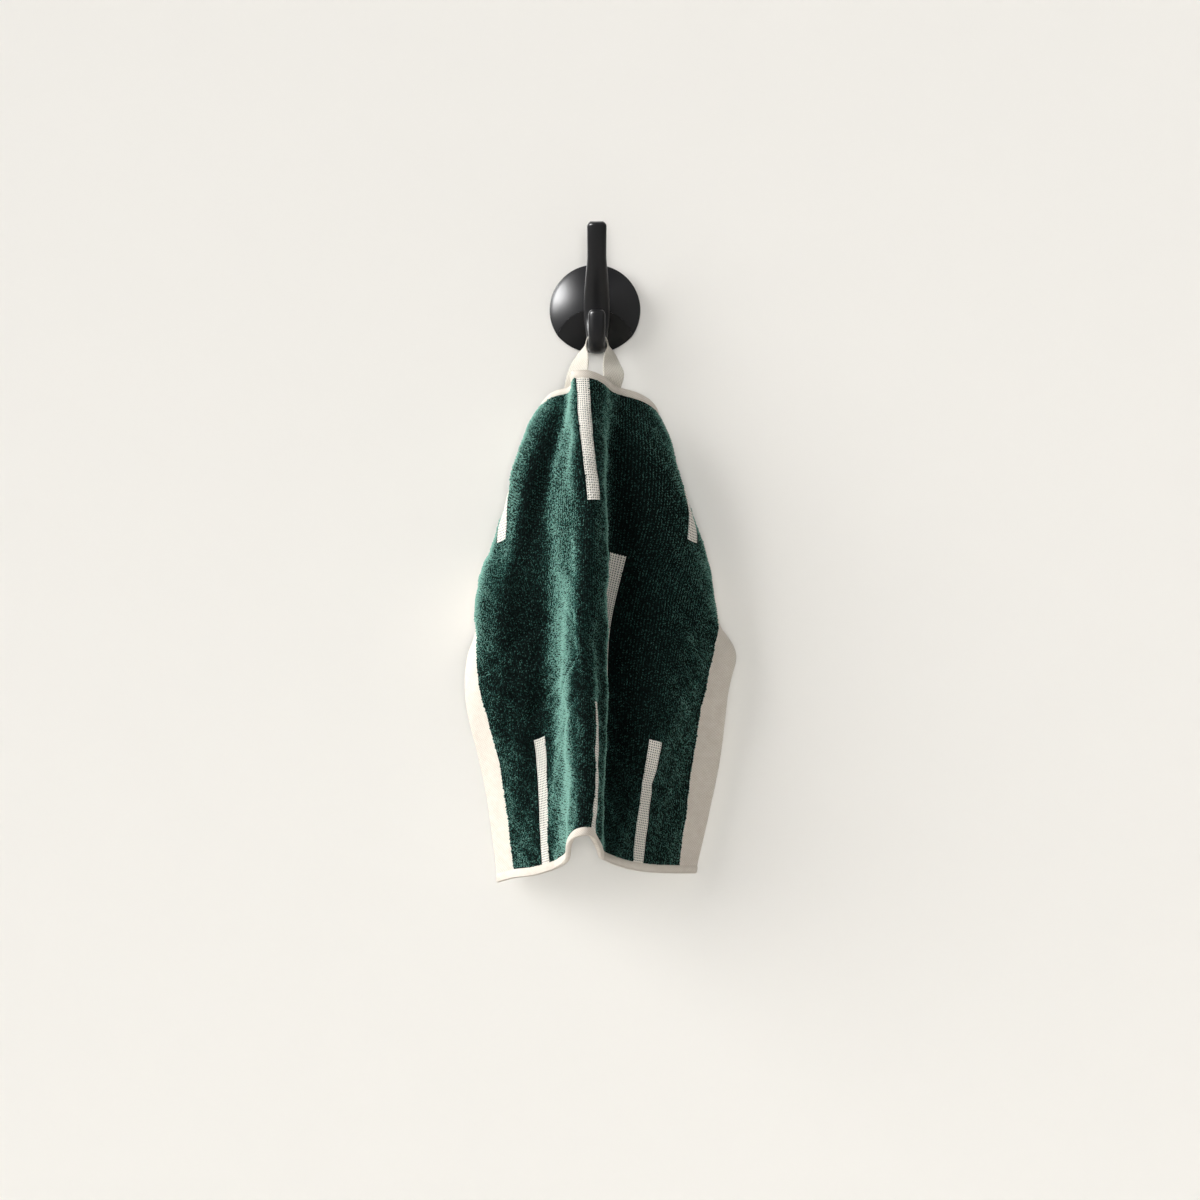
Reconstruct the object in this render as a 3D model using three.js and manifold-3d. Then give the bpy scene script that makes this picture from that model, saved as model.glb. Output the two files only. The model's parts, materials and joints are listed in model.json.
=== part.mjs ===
// A terry face towel hanging by its tape from a black wall hook.
// Millimetres. The wall is the plane y = 0, the object stands out towards -y, and +z is up.
// The origin is the middle of the flat back of the hook's wall plate.
import * as THREE from 'three';
import { mergeVertices } from 'three/addons/utils/BufferGeometryUtils.js';
import Module from 'manifold-3d';

const wasm = await Module();
wasm.setup();

// Driving dimensions
const TOWEL = { width: 250, length: 300, hem: 5.5, border: 16 };
const THICK = { terry: 3.0, border: 1.8, hem: 3.6 };
const TAPE = { width: 13, thick: 1.0, clearance: 0.75, sewnDepth: 9, leftAcross: -33.5, rightAcross: 27 };
const PLATE = { radius: 29.9, wallRadius: 27.3, rim: 7, dome: 6.5, edge: 0.8, cutSlope: 0.385 };
const NECK = { rootRadius: 9, armRadius: 6.4, rootOut: 10, armOut: 22, sunk: 2, z: -1 };
const ARM_SIDE = 1.2; // how far the arm and its neck stand to the right of the plate's middle
const ARM_ROUNDNESS = 2.4; // power of the arm's superellipse section, 2 would be an ellipse
const ARM_END = { widthRound: 4.2, thickRound: 1.6, blunt: 0.9 };
const SMALLEST_DETAIL = 0.02;

// How finely the surfaces are cut into flat faces
const TOWEL_GRID = { across: 38, down: 50, borderSeam: 1 };
const TAPE_GRID = { along: 52, across: 4 };
const ARM_GRID = { step: 3, round: 24 };
const PLATE_GRID = { edge: 4, dome: 9, round: 72 };
const NECK_GRID = { flare: 6, round: 24 };

// Where the towel's folds lie, one row for each section down the cloth. The same fifteen folds run
// through every row: left edge, left turn, left shoulder, left bulge, left valley, foot of the
// pleat, its left crest, left and right of its middle, its right crest, the fold behind it, right
// valley, right bulge, right turn, right edge. across: place on the flat cloth from its middle.
// x, out, z: where that place hangs, with out counted from the wall.
const SECTIONS = [
  {
    down: 0, // top hem: the middle stands up between the ends of the tape, the sides turn back
    across: [-125, -88, -74, -58, -40, -26, -14, -5, 5, 13, 28, 42, 62, 90, 125],
    x: [-5, -28, -33, -33, -22, -14, -14, -12, -4, 4, 13, 27, 39, 34, 16],
    out: [12, 13, 16, 25, 37, 43, 56, 62, 62, 56, 43, 36, 24, 13, 12],
    z: [-94, -75, -69, -62, -54, -51, -44, -43, -43, -46, -52, -56, -66, -77, -94],
  },
  {
    down: 45,
    across: [-125, -92, -79, -66, -46, -33, -14, -5, 5, 13, 24, 42, 66, 92, 125],
    x: [-31, -45, -50, -50, -37, -25, -15, -9, -1, 5, 8, 29, 53, 50, 36],
    out: [10, 13, 20, 30, 43, 45, 65, 70, 70, 65, 54, 48, 31, 13, 10],
    z: [-125, -113, -107, -100, -95, -94, -89, -86, -87, -89, -92, -97, -105, -113, -125],
  },
  {
    down: 83, // lower end of the top row of bars
    across: [-125, -94, -85, -75, -54, -38, -15, -5, 5, 13, 24, 42, 75, 94, 125],
    x: [-49, -66, -65, -60, -46, -31, -15, -5, 3, 6, 6, 26, 63, 69, 53],
    out: [9, 20, 27, 34, 46, 46, 71, 76, 74, 69, 54, 49, 34, 20, 9],
    z: [-166, -156, -155, -153, -144, -138, -129, -127, -127, -128, -131, -136, -153, -156, -166],
  },
  {
    down: 130,
    across: [-125, -107, -92, -75, -54, -38, -18, -5, 5, 13, 26, 42, 75, 106, 125],
    x: [-72, -77, -70, -57, -37, -24, -15, -5, 3, 7, 4, 15, 53, 78, 79],
    out: [10, 24, 37, 44, 44, 56, 77, 80, 77, 71, 54, 49, 45, 25, 11],
    z: [-205, -199, -194, -190, -185, -180, -175, -174, -174, -175, -179, -184, -193, -200, -207],
  },
  {
    down: 151, // the right border comes into sight here, and the left one a little lower
    across: [-125, -108, -92, -75, -56, -39, -19, -5, 5, 12, 26, 42, 75, 108, 125],
    x: [-82, -76, -66, -52, -33, -22, -15, -5, 4, 7, 3, 11, 51, 77, 92],
    out: [13, 27, 38, 42, 44, 57, 79, 80, 77, 72, 53, 49, 46, 28, 16],
    z: [-225, -222, -217, -212, -205, -199, -194, -192, -192, -193, -198, -203, -213, -221, -225],
  },
  {
    down: 168,
    across: [-125, -109, -93, -75, -58, -41, -20, -5, 5, 12, 26, 42, 75, 109, 125],
    x: [-85, -76, -63, -48, -32, -22, -14, -5, 3, 7, 3, 9, 48, 74, 90],
    out: [17, 30, 38, 41, 44, 58, 80, 80, 76, 72, 54, 50, 48, 30, 18],
    z: [-243, -241, -236, -231, -224, -216, -209, -207, -207, -209, -214, -219, -230, -238, -240],
  },
  {
    down: 217, // upper end of the bottom row of bars
    across: [-125, -109, -94, -75, -60, -42, -21, -5, 5, 13, 27, 45, 75, 109, 125],
    x: [-77, -64, -52, -36, -26, -19, -14, -2, 1, 6, 3, 11, 39, 65, 83],
    out: [15, 27, 34, 38, 43, 60, 82, 81, 73, 68, 56, 50, 49, 28, 16],
    z: [-292, -288, -285, -281, -275, -267, -258, -256, -257, -259, -265, -273, -282, -287, -288],
  },
  {
    down: 258,
    across: [-125, -109, -94, -75, -60, -42, -20, -5, 5, 13, 28, 45, 75, 109, 125],
    x: [-69, -57, -47, -33, -25, -18, -13, -2, 1, 5, 3, 10, 32, 59, 75],
    out: [12, 24, 32, 37, 43, 59, 82, 81, 72, 67, 56, 51, 46, 25, 12],
    z: [-333, -329, -327, -324, -320, -312, -301, -298, -300, -303, -311, -317, -324, -328, -330],
  },
  {
    down: 300, // bottom hem: the pleat lifts it in the middle
    across: [-125, -109, -91, -75, -58, -42, -15, -5, 5, 14, 28, 45, 75, 109, 125],
    x: [-64, -52, -41, -31, -24, -18, -12, -4, 0, 3, 4, 9, 27, 54, 66],
    out: [10, 22, 32, 39, 44, 60, 82, 81, 73, 68, 56, 52, 42, 22, 9],
    z: [-377, -373, -371, -368, -365, -359, -343, -342, -347, -354, -358, -361, -367, -370, -371],
  },
];

// The free tape from the left end, over the hook, to the right end, one row for each station.
// near and far: the edge towards the arm and the other edge, as x, out, z. cup: how far the
// middle of the tape sags below the line between its edges.
const TAPE_STATIONS = [
  { near: [-5.0, 43.0, -43.0], far: [-18.2, 36.5, -44.5], cup: 0 },
  { near: [-4.2, 42.0, -36.5], far: [-15.2, 33.5, -37.0], cup: 0 },
  { near: [-4.5, 42.5, -30.5], far: [-10.6, 31.4, -30.0], cup: 0 },
  { near: [-5.8, 42.7, -25.6], far: [-6.6, 31.4, -25.4], cup: 0.3 },
  { near: [-4.0, 42.4, -19.7], far: [-4.0, 31.6, -19.7], cup: 1.5 },
  { near: [1.2, 42.4, -18.6], far: [1.2, 31.6, -18.6], cup: 2.6 },
  { near: [6.4, 42.4, -19.7], far: [6.4, 31.6, -19.7], cup: 1.5 },
  { near: [8.2, 42.7, -25.6], far: [9.0, 31.4, -25.4], cup: 0.3 },
  { near: [6.4, 42.5, -30.5], far: [12.8, 31.6, -30.0], cup: 0 },
  { near: [5.2, 42.0, -36.5], far: [16.2, 34.0, -36.8], cup: 0 },
  { near: [5.2, 44.0, -43.0], far: [19.0, 37.5, -44.0], cup: 0 },
];

// The hook's arm from the top end down and round to the lower tip, one row for each station
const ARM = [
  { out: 53, z: 54, width: 12.9, thick: 6.8 },
  { out: 51, z: 47, width: 12.7, thick: 7.0 },
  { out: 44.5, z: 33, width: 12.5, thick: 7.4 },
  { out: 36, z: 20, width: 14.6, thick: 8.0 },
  { out: 28, z: 9, width: 16.4, thick: 8.5 },
  { out: 23.5, z: -1, width: 17.0, thick: 8.6 },
  { out: 22.5, z: -10, width: 16.2, thick: 8.5 },
  { out: 24.5, z: -18, width: 14.2, thick: 8.4 },
  { out: 29.5, z: -24.3, width: 12.6, thick: 8.4 },
  { out: 37, z: -26.6, width: 11.6, thick: 8.4 },
  { out: 44.5, z: -24.3, width: 11.2, thick: 7.8 },
  { out: 49, z: -18, width: 11.0, thick: 7.2 },
  { out: 51, z: -10, width: 11.0, thick: 6.6 },
  { out: 51.8, z: -3, width: 11.0, thick: 6.2 },
];

/** A natural cubic spline through values at rising knots, straight beyond its ends. */
function spline(knots, values) {
  const last = knots.length - 1;
  const gap = knots.slice(1).map((knot, i) => knot - knots[i]);
  const slope = gap.map((step, i) => (values[i + 1] - values[i]) / step);
  const bend = new Array(last + 1).fill(0);
  const share = new Array(last + 1).fill(0);
  for (let i = 1; i < last; i += 1) {
    const pivot = 2 * (gap[i - 1] + gap[i]) - gap[i - 1] * share[i - 1];
    share[i] = gap[i] / pivot;
    bend[i] = (6 * (slope[i] - slope[i - 1]) - gap[i - 1] * bend[i - 1]) / pivot;
  }
  for (let i = last - 1; i > 0; i -= 1) bend[i] -= share[i] * bend[i + 1];
  return (place) => {
    const inside = THREE.MathUtils.clamp(place, knots[0], knots[last]);
    let i = 0;
    while (i < last - 1 && inside > knots[i + 1]) i += 1;
    const h = gap[i];
    const [left, right] = [knots[i + 1] - inside, inside - knots[i]];
    const value = (bend[i] * left ** 3 + bend[i + 1] * right ** 3) / (6 * h)
      + (values[i] / h - (bend[i] * h) / 6) * left + (values[i + 1] / h - (bend[i + 1] * h) / 6) * right;
    const rate = (bend[i + 1] * right ** 2 - bend[i] * left ** 2) / (2 * h)
      + slope[i] - (h * (bend[i + 1] - bend[i])) / 6;
    return value + rate * (place - inside);
  };
}

/** The hanging cloth: the folds are splines down the sections, and each level is a spline across them. */
function drapedSurface() {
  const downs = SECTIONS.map((row) => row.down);
  const foldLines = (key) =>
    SECTIONS[0].across.map((_, fold) => spline(downs, SECTIONS.map((row) => row[key][fold])));
  const lines = Object.fromEntries(['across', 'x', 'out', 'z'].map((key) => [key, foldLines(key)]));
  const levels = new Map();
  const level = (down) => {
    if (!levels.has(down)) {
      const at = (key) => lines[key].map((line) => line(down));
      levels.set(down, ['x', 'out', 'z'].map((key) => spline(at('across'), at(key))));
    }
    return levels.get(down);
  };
  return (across, down) => {
    const [x, out, z] = level(down).map((line) => line(across));
    return new THREE.Vector3(x, -out, z);
  };
}

/** The cloth's unit normal, towards the side that shows. */
function drapedNormal(surface, across, down) {
  const reach = 0.8;
  const alongWidth = surface(across + reach, down).sub(surface(across - reach, down));
  const alongLength = surface(across, down + reach).sub(surface(across, down - reach));
  return alongLength.cross(alongWidth).normalize();
}

function evenSteps(from, to, count) {
  return Array.from({ length: count + 1 }, (_, i) => from + ((to - from) * i) / count);
}

/** Closes a front grid and a back grid of points into one solid, with a middle row round its rim. */
function sheetSolid(front, back, rim) {
  const rows = front.length;
  const columns = front[0].length;
  const points = [...front.flat(), ...back.flat()];
  const index = (side, i, j) => side * rows * columns + i * columns + j;
  const triangles = [];
  for (let i = 0; i < rows - 1; i += 1) {
    for (let j = 0; j < columns - 1; j += 1) {
      const corners = [[i, j], [i, j + 1], [i + 1, j + 1], [i + 1, j]];
      const [a, b, c, d] = corners.map(([row, column]) => index(0, row, column));
      triangles.push(a, d, c, a, c, b);
      const [e, f, g, h] = corners.map(([row, column]) => index(1, row, column));
      triangles.push(e, g, h, e, f, g);
    }
  }
  const border = [];
  for (let j = 0; j < columns - 1; j += 1) border.push([0, j]);
  for (let i = 0; i < rows - 1; i += 1) border.push([i, columns - 1]);
  for (let j = columns - 1; j > 0; j -= 1) border.push([rows - 1, j]);
  for (let i = rows - 1; i > 0; i -= 1) border.push([i, 0]);
  const firstRim = points.length;
  border.forEach(([i, j]) => points.push(rim(i, j)));
  border.forEach(([i, j], k) => {
    const next = (k + 1) % border.length;
    const [p, q] = border[next];
    const [here, there] = [firstRim + k, firstRim + next];
    triangles.push(index(0, i, j), index(0, p, q), there, index(0, i, j), there, here);
    triangles.push(here, there, index(1, p, q), here, index(1, p, q), index(1, i, j));
  });
  const geometry = new THREE.BufferGeometry().setFromPoints(points);
  geometry.setIndex(triangles);
  geometry.computeVertexNormals();
  return geometry;
}

function clothThickness(across, down) {
  const fromEnd = Math.min(down, TOWEL.length - down);
  if (fromEnd <= TOWEL.hem) return THICK.hem;
  const fromSide = TOWEL.width / 2 - Math.abs(across);
  return fromSide <= TOWEL.border ? THICK.border : THICK.terry;
}

/** The cloth cut into a grid that has lines on both sides of each border's and hem's edge. */
function towelGeometry(surface) {
  const { width, length, hem, border } = TOWEL;
  const seam = TOWEL_GRID.borderSeam;
  const half = width / 2;
  const inner = half - border;
  const rightSide = [inner, half - border / 3, half];
  const leftSide = rightSide.map((across) => -across).reverse();
  const terryAcross = evenSteps(-inner + seam, inner - seam, TOWEL_GRID.across);
  const acrossLines = [...leftSide, ...terryAcross, ...rightSide];
  const topHem = [0, hem / 2, hem];
  const bottomHem = topHem.map((down) => length - down).reverse();
  const downLines = [...topHem, ...evenSteps(hem + seam, length - hem - seam, TOWEL_GRID.down), ...bottomHem];
  const edgeRound = 0.35; // how far the rim stands out, as a share of the cloth's thickness
  const offset = (across, down, sign) => {
    const shift = (sign * clothThickness(across, down)) / 2;
    return surface(across, down).addScaledVector(drapedNormal(surface, across, down), shift);
  };
  const grid = (sign) => downLines.map((down) => acrossLines.map((across) => offset(across, down, sign)));
  const rim = (i, j) => {
    const [across, down] = [acrossLines[j], downLines[i]];
    const bulge = clothThickness(across, down) * edgeRound;
    const outAcross = j === 0 ? -bulge : j === acrossLines.length - 1 ? bulge : 0;
    const outDown = i === 0 ? -bulge : i === downLines.length - 1 ? bulge : 0;
    return surface(across + outAcross, down + outDown);
  };
  return sheetSolid(grid(1), grid(-1), rim);
}

/** Stations where one end of the tape is sewn flat behind the top hem, from the end upwards. */
function sewnStations(surface, middleAcross, nearSign) {
  const behind = THICK.hem / 2 + TAPE.clearance + TAPE.thick / 2;
  const at = (across, down) =>
    surface(across, down).addScaledVector(drapedNormal(surface, across, down), -behind);
  return [TAPE.sewnDepth, TAPE.sewnDepth / 2, 0].map((down) => ({
    near: at(middleAcross + (nearSign * TAPE.width) / 2, down),
    middle: at(middleAcross, down),
    far: at(middleAcross - (nearSign * TAPE.width) / 2, down),
  }));
}

function tapeGeometry(surface) {
  const free = TAPE_STATIONS.map(({ near, far, cup }) => {
    const [a, b] = [near, far].map(([x, out, z]) => new THREE.Vector3(x, -out, z));
    const middle = a.clone().add(b).multiplyScalar(0.5);
    middle.z -= cup;
    return { near: a, middle, far: b };
  });
  const left = sewnStations(surface, TAPE.leftAcross, 1);
  const right = sewnStations(surface, TAPE.rightAcross, -1).reverse();
  const stations = [...left, ...free, ...right];
  const lines = ['near', 'middle', 'far'].map(
    (key) => new THREE.CatmullRomCurve3(stations.map((s) => s[key]), false, 'centripetal'),
  );
  const { along: steps, across: acrossSteps } = TAPE_GRID;
  const centre = evenSteps(0, 1, steps).map((t) => {
    const [near, middle, far] = lines.map((line) => line.getPoint(t));
    // a parabola through the two edges and the middle
    const blend = (w) =>
      near.clone().multiplyScalar(2 * (w - 0.5) * (w - 1))
        .addScaledVector(middle, -4 * w * (w - 1))
        .addScaledVector(far, 2 * w * (w - 0.5));
    return evenSteps(0, 1, acrossSteps).map(blend);
  });
  const { clamp } = THREE.MathUtils;
  const at = (row, column) => centre[clamp(row, 0, steps)][clamp(column, 0, acrossSteps)];
  const normal = (i, j) => {
    const along = at(i + 1, j).clone().sub(at(i - 1, j));
    const across = at(i, j + 1).clone().sub(at(i, j - 1));
    return along.cross(across).normalize();
  };
  const face = (sign) => centre.map((row, i) =>
    row.map((point, j) => point.clone().addScaledVector(normal(i, j), (sign * TAPE.thick) / 2)));
  return sheetSolid(face(1), face(-1), (i, j) => centre[i][j].clone());
}

/** The arm: a rounded bar swept down the table of stations, with rounded ends. */
function armGeometry() {
  const centres = ARM.map((s) => new THREE.Vector3(ARM_SIDE, -s.out, s.z));
  const sizes = ARM.map((s) => new THREE.Vector3(s.width, s.thick, 0));
  const centreLine = new THREE.CatmullRomCurve3(centres, false, 'centripetal');
  const widths = new THREE.CatmullRomCurve3(sizes, false, 'centripetal');
  const length = centreLine.getLength();
  const { step, round: sides } = ARM_GRID;
  const { widthRound, thickRound, blunt } = ARM_END;
  const ends = [0, 0.06, 0.19, 0.38, 0.67, 1].map((share) => share * widthRound);
  const middle = evenSteps(widthRound + step, length - widthRound - step, Math.round(length / step));
  const places = [...ends, ...middle, ...ends.map((d) => length - d).reverse()];
  const rounding = (distance, reach) => {
    const share = Math.min(1, (distance + SMALLEST_DETAIL) / reach);
    return Math.sqrt(1 - (1 - share) ** 2);
  };
  const power = 2 / ARM_ROUNDNESS;
  const shaped = (value) => Math.sign(value) * Math.abs(value) ** power;
  const rings = places.map((distance) => {
    const t = centreLine.getUtoTmapping(distance / length);
    const point = centreLine.getPoint(t);
    const tangent = centreLine.getTangent(t);
    const forward = new THREE.Vector3(1, 0, 0).cross(tangent);
    const size = widths.getPoint(t);
    const toEnd = Math.min(distance, length - distance);
    const halfWidth = (size.x / 2) * rounding(toEnd + blunt, widthRound);
    const halfThick = (size.y / 2) * rounding(toEnd, thickRound);
    return evenSteps(0, 2 * Math.PI, sides).slice(0, sides).map((angle) =>
      point.clone()
        .addScaledVector(new THREE.Vector3(1, 0, 0), halfWidth * shaped(Math.cos(angle)))
        .addScaledVector(forward, halfThick * shaped(Math.sin(angle))));
  });
  const points = rings.flat();
  const triangles = [];
  rings.slice(1).forEach((_, i) => {
    for (let k = 0; k < sides; k += 1) {
      const next = (k + 1) % sides;
      const [a, b] = [i * sides + k, i * sides + next];
      triangles.push(a, b + sides, b, a, a + sides, b + sides);
    }
  });
  const cap = (ring, flip) => {
    const centre = points.push(centreLine.getPoint(flip ? 0 : 1)) - 1;
    for (let k = 0; k < sides; k += 1) {
      const [a, b] = [ring * sides + k, ring * sides + ((k + 1) % sides)];
      triangles.push(...(flip ? [centre, a, b] : [centre, b, a]));
    }
  };
  cap(0, true);
  cap(rings.length - 1, false);
  const geometry = new THREE.BufferGeometry().setFromPoints(points);
  geometry.setIndex(triangles);
  return geometry;
}

/**
 * Wall plate: a disc with a domed front, wider at its front rim than at the wall. Its axis is
 * turned from +y of the lathe to -y.
 */
function plateGeometry() {
  const { radius, wallRadius, rim, dome, edge } = PLATE;
  const domeOut = (r) => rim + dome * (1 - (r / radius) ** 2);
  const inner = radius - edge;
  const cornerOut = domeOut(inner) - edge;
  const corner = evenSteps(0, Math.PI / 2, PLATE_GRID.edge).map((angle) =>
    new THREE.Vector2(inner + edge * Math.cos(angle), cornerOut + edge * Math.sin(angle)));
  const front = evenSteps(inner, 0, PLATE_GRID.dome).slice(1).map((r) => new THREE.Vector2(r, domeOut(r)));
  const wallSide = [[0, 0], [wallRadius - edge, 0], [wallRadius, edge]];
  const back = wallSide.map(([r, out]) => new THREE.Vector2(r, out));
  return new THREE.LatheGeometry([...back, ...corner, ...front], PLATE_GRID.round).rotateX(Math.PI);
}

/** The wedge that cuts the plate's lower front flat, from the middle of the dome downwards. */
function plateCutterGeometry() {
  const size = 4 * PLATE.radius;
  const slope = Math.atan(PLATE.cutSlope);
  return new THREE.BoxGeometry(size, size, size)
    .translate(0, -size / 2, 0)
    .rotateX(-slope)
    .translate(0, -(PLATE.rim + PLATE.dome), 0);
}

/** The short round neck that joins the arm to the plate, wider where it leaves the plate. */
function neckGeometry() {
  const { rootRadius, armRadius, rootOut, armOut, sunk, z } = NECK;
  const flare = evenSteps(0, 1, NECK_GRID.flare).map((s) => {
    const radius = armRadius + (rootRadius - armRadius) * (1 - s) ** 2;
    return new THREE.Vector2(radius, rootOut + (armOut - rootOut) * s);
  });
  const start = [0, rootRadius].map((radius) => new THREE.Vector2(radius, rootOut - sunk));
  const profile = [...start, ...flare, new THREE.Vector2(0, armOut)];
  return new THREE.LatheGeometry(profile, NECK_GRID.round).rotateX(Math.PI).translate(ARM_SIDE, 0, z);
}

/** Turns a closed three.js geometry into a solid that can be joined and cut. */
function toSolid(geometry) {
  const bare = geometry.clone();
  bare.deleteAttribute('normal');
  bare.deleteAttribute('uv');
  const sameSpot = 1e-4;
  const merged = mergeVertices(bare, sameSpot);
  return new wasm.Manifold(new wasm.Mesh({
    numProp: 3,
    vertProperties: merged.attributes.position.array,
    triVerts: Uint32Array.from(merged.index.array),
  }));
}

function fromSolid(solid) {
  const mesh = solid.getMesh();
  const geometry = new THREE.BufferGeometry();
  geometry.setAttribute('position', new THREE.BufferAttribute(mesh.vertProperties, 3));
  geometry.setIndex(new THREE.BufferAttribute(mesh.triVerts, 1));
  geometry.computeVertexNormals();
  return geometry;
}

function hookGeometry() {
  const plate = toSolid(plateGeometry()).subtract(toSolid(plateCutterGeometry()));
  const whole = plate.add(toSolid(neckGeometry())).add(toSolid(armGeometry()));
  return fromSolid(whole.simplify(SMALLEST_DETAIL));
}

const FINISHES = {
  blackMetal: { color: 0x1c1c1d, roughness: 0.45, metalness: 0.1 },
  greenTerry: { color: 0x17463c, roughness: 0.95, metalness: 0 },
  creamWeave: { color: 0xe9e4d8, roughness: 0.8, metalness: 0 },
};

function named(name, geometry, finish) {
  const mesh = new THREE.Mesh(geometry, new THREE.MeshStandardMaterial(finish));
  mesh.name = name;
  return mesh;
}

const surface = drapedSurface();
const object = new THREE.Group();
object.add(
  named('wall_hook', hookGeometry(), FINISHES.blackMetal),
  named('towel', towelGeometry(surface), FINISHES.greenTerry),
  named('hanging_tape', tapeGeometry(surface), FINISHES.creamWeave),
);

export default object;
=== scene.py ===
# %% [markdown]
# # A terry towel hanging from a wall hook
#
# The real object is a small face towel, 250 by 300 mm, that hangs by a tape from a black
# metal hook. The CAD model already holds the draped shape and every size. This lesson adds
# the looks: looped terry pile, flat-woven borders and bars, rolled hems, a ribbed tape and
# a satin black casting.
#
# Blender works in metres, in the same frame as the CAD: the wall is the plane y = 0, the
# object stands out towards -y, and z is up. The tables below are in millimetres, as a
# maker would write them, and are scaled once, where a mesh is placed.

# %% Load the fixed frame and keep the CAD box
import json
import math

import bmesh
import bpy
import numpy as np
from mathutils import Matrix, Vector

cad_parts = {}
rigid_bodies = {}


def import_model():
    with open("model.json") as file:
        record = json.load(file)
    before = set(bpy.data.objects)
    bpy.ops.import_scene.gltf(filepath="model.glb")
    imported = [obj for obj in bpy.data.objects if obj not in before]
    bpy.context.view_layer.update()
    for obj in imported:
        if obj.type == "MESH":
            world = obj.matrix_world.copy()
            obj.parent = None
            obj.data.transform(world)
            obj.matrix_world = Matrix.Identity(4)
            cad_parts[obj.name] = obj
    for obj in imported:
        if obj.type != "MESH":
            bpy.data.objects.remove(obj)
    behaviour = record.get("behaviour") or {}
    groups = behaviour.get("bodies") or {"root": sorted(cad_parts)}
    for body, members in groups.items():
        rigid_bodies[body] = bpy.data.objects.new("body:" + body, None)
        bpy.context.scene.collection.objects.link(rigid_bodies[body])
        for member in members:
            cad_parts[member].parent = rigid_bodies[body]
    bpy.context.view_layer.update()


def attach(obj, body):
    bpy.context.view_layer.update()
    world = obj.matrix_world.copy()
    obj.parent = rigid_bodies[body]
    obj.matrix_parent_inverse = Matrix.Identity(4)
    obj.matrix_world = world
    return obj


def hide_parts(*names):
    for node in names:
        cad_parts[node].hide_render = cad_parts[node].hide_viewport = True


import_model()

MM = 0.001

# %% [markdown]
# ## The camera
#
# The photograph was taken square on, a little below the hook, with a long lens. A long lens
# from far away keeps the wall's verticals straight, so no shift is needed: the camera
# stands 2.6 m out and looks along +y.

# %% Camera square to the wall
CAMERA_PLACE = (0.0033, -2.6, -0.191)
FOCAL_LENGTH = 118.1

camera_data = bpy.data.cameras.new("photo_camera")
camera_data.lens = FOCAL_LENGTH
camera_data.sensor_width = 36.0
camera_data.clip_start = 0.1
camera_data.clip_end = 50.0
camera = bpy.data.objects.new("photo_camera", camera_data)
camera.location = CAMERA_PLACE
camera.rotation_euler = (math.radians(90), 0, 0)
bpy.context.scene.collection.objects.link(camera)
bpy.context.scene.camera = camera
print("camera field of view, degrees:", round(math.degrees(camera_data.angle), 1))

# %% [markdown]
# ## How the cloth hangs
#
# A towel that is hung from the middle of its top hem falls into one tall pleat, with a wing
# on each side that leans back to the wall. A cloth simulation could find such folds, but it
# would settle somewhere else each time a setting changed. The CAD model lists where fifteen
# folds lie on nine sections instead, and this scene repeats the list, so the soft surface
# lies exactly on the solid. Each row gives a section: how far down the cloth it is, and for
# every fold its place across the flat cloth and where it hangs.

# %% The nine sections of the drape
TOWEL = {"width": 250, "length": 300, "hem": 5.5, "border": 16}

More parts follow.
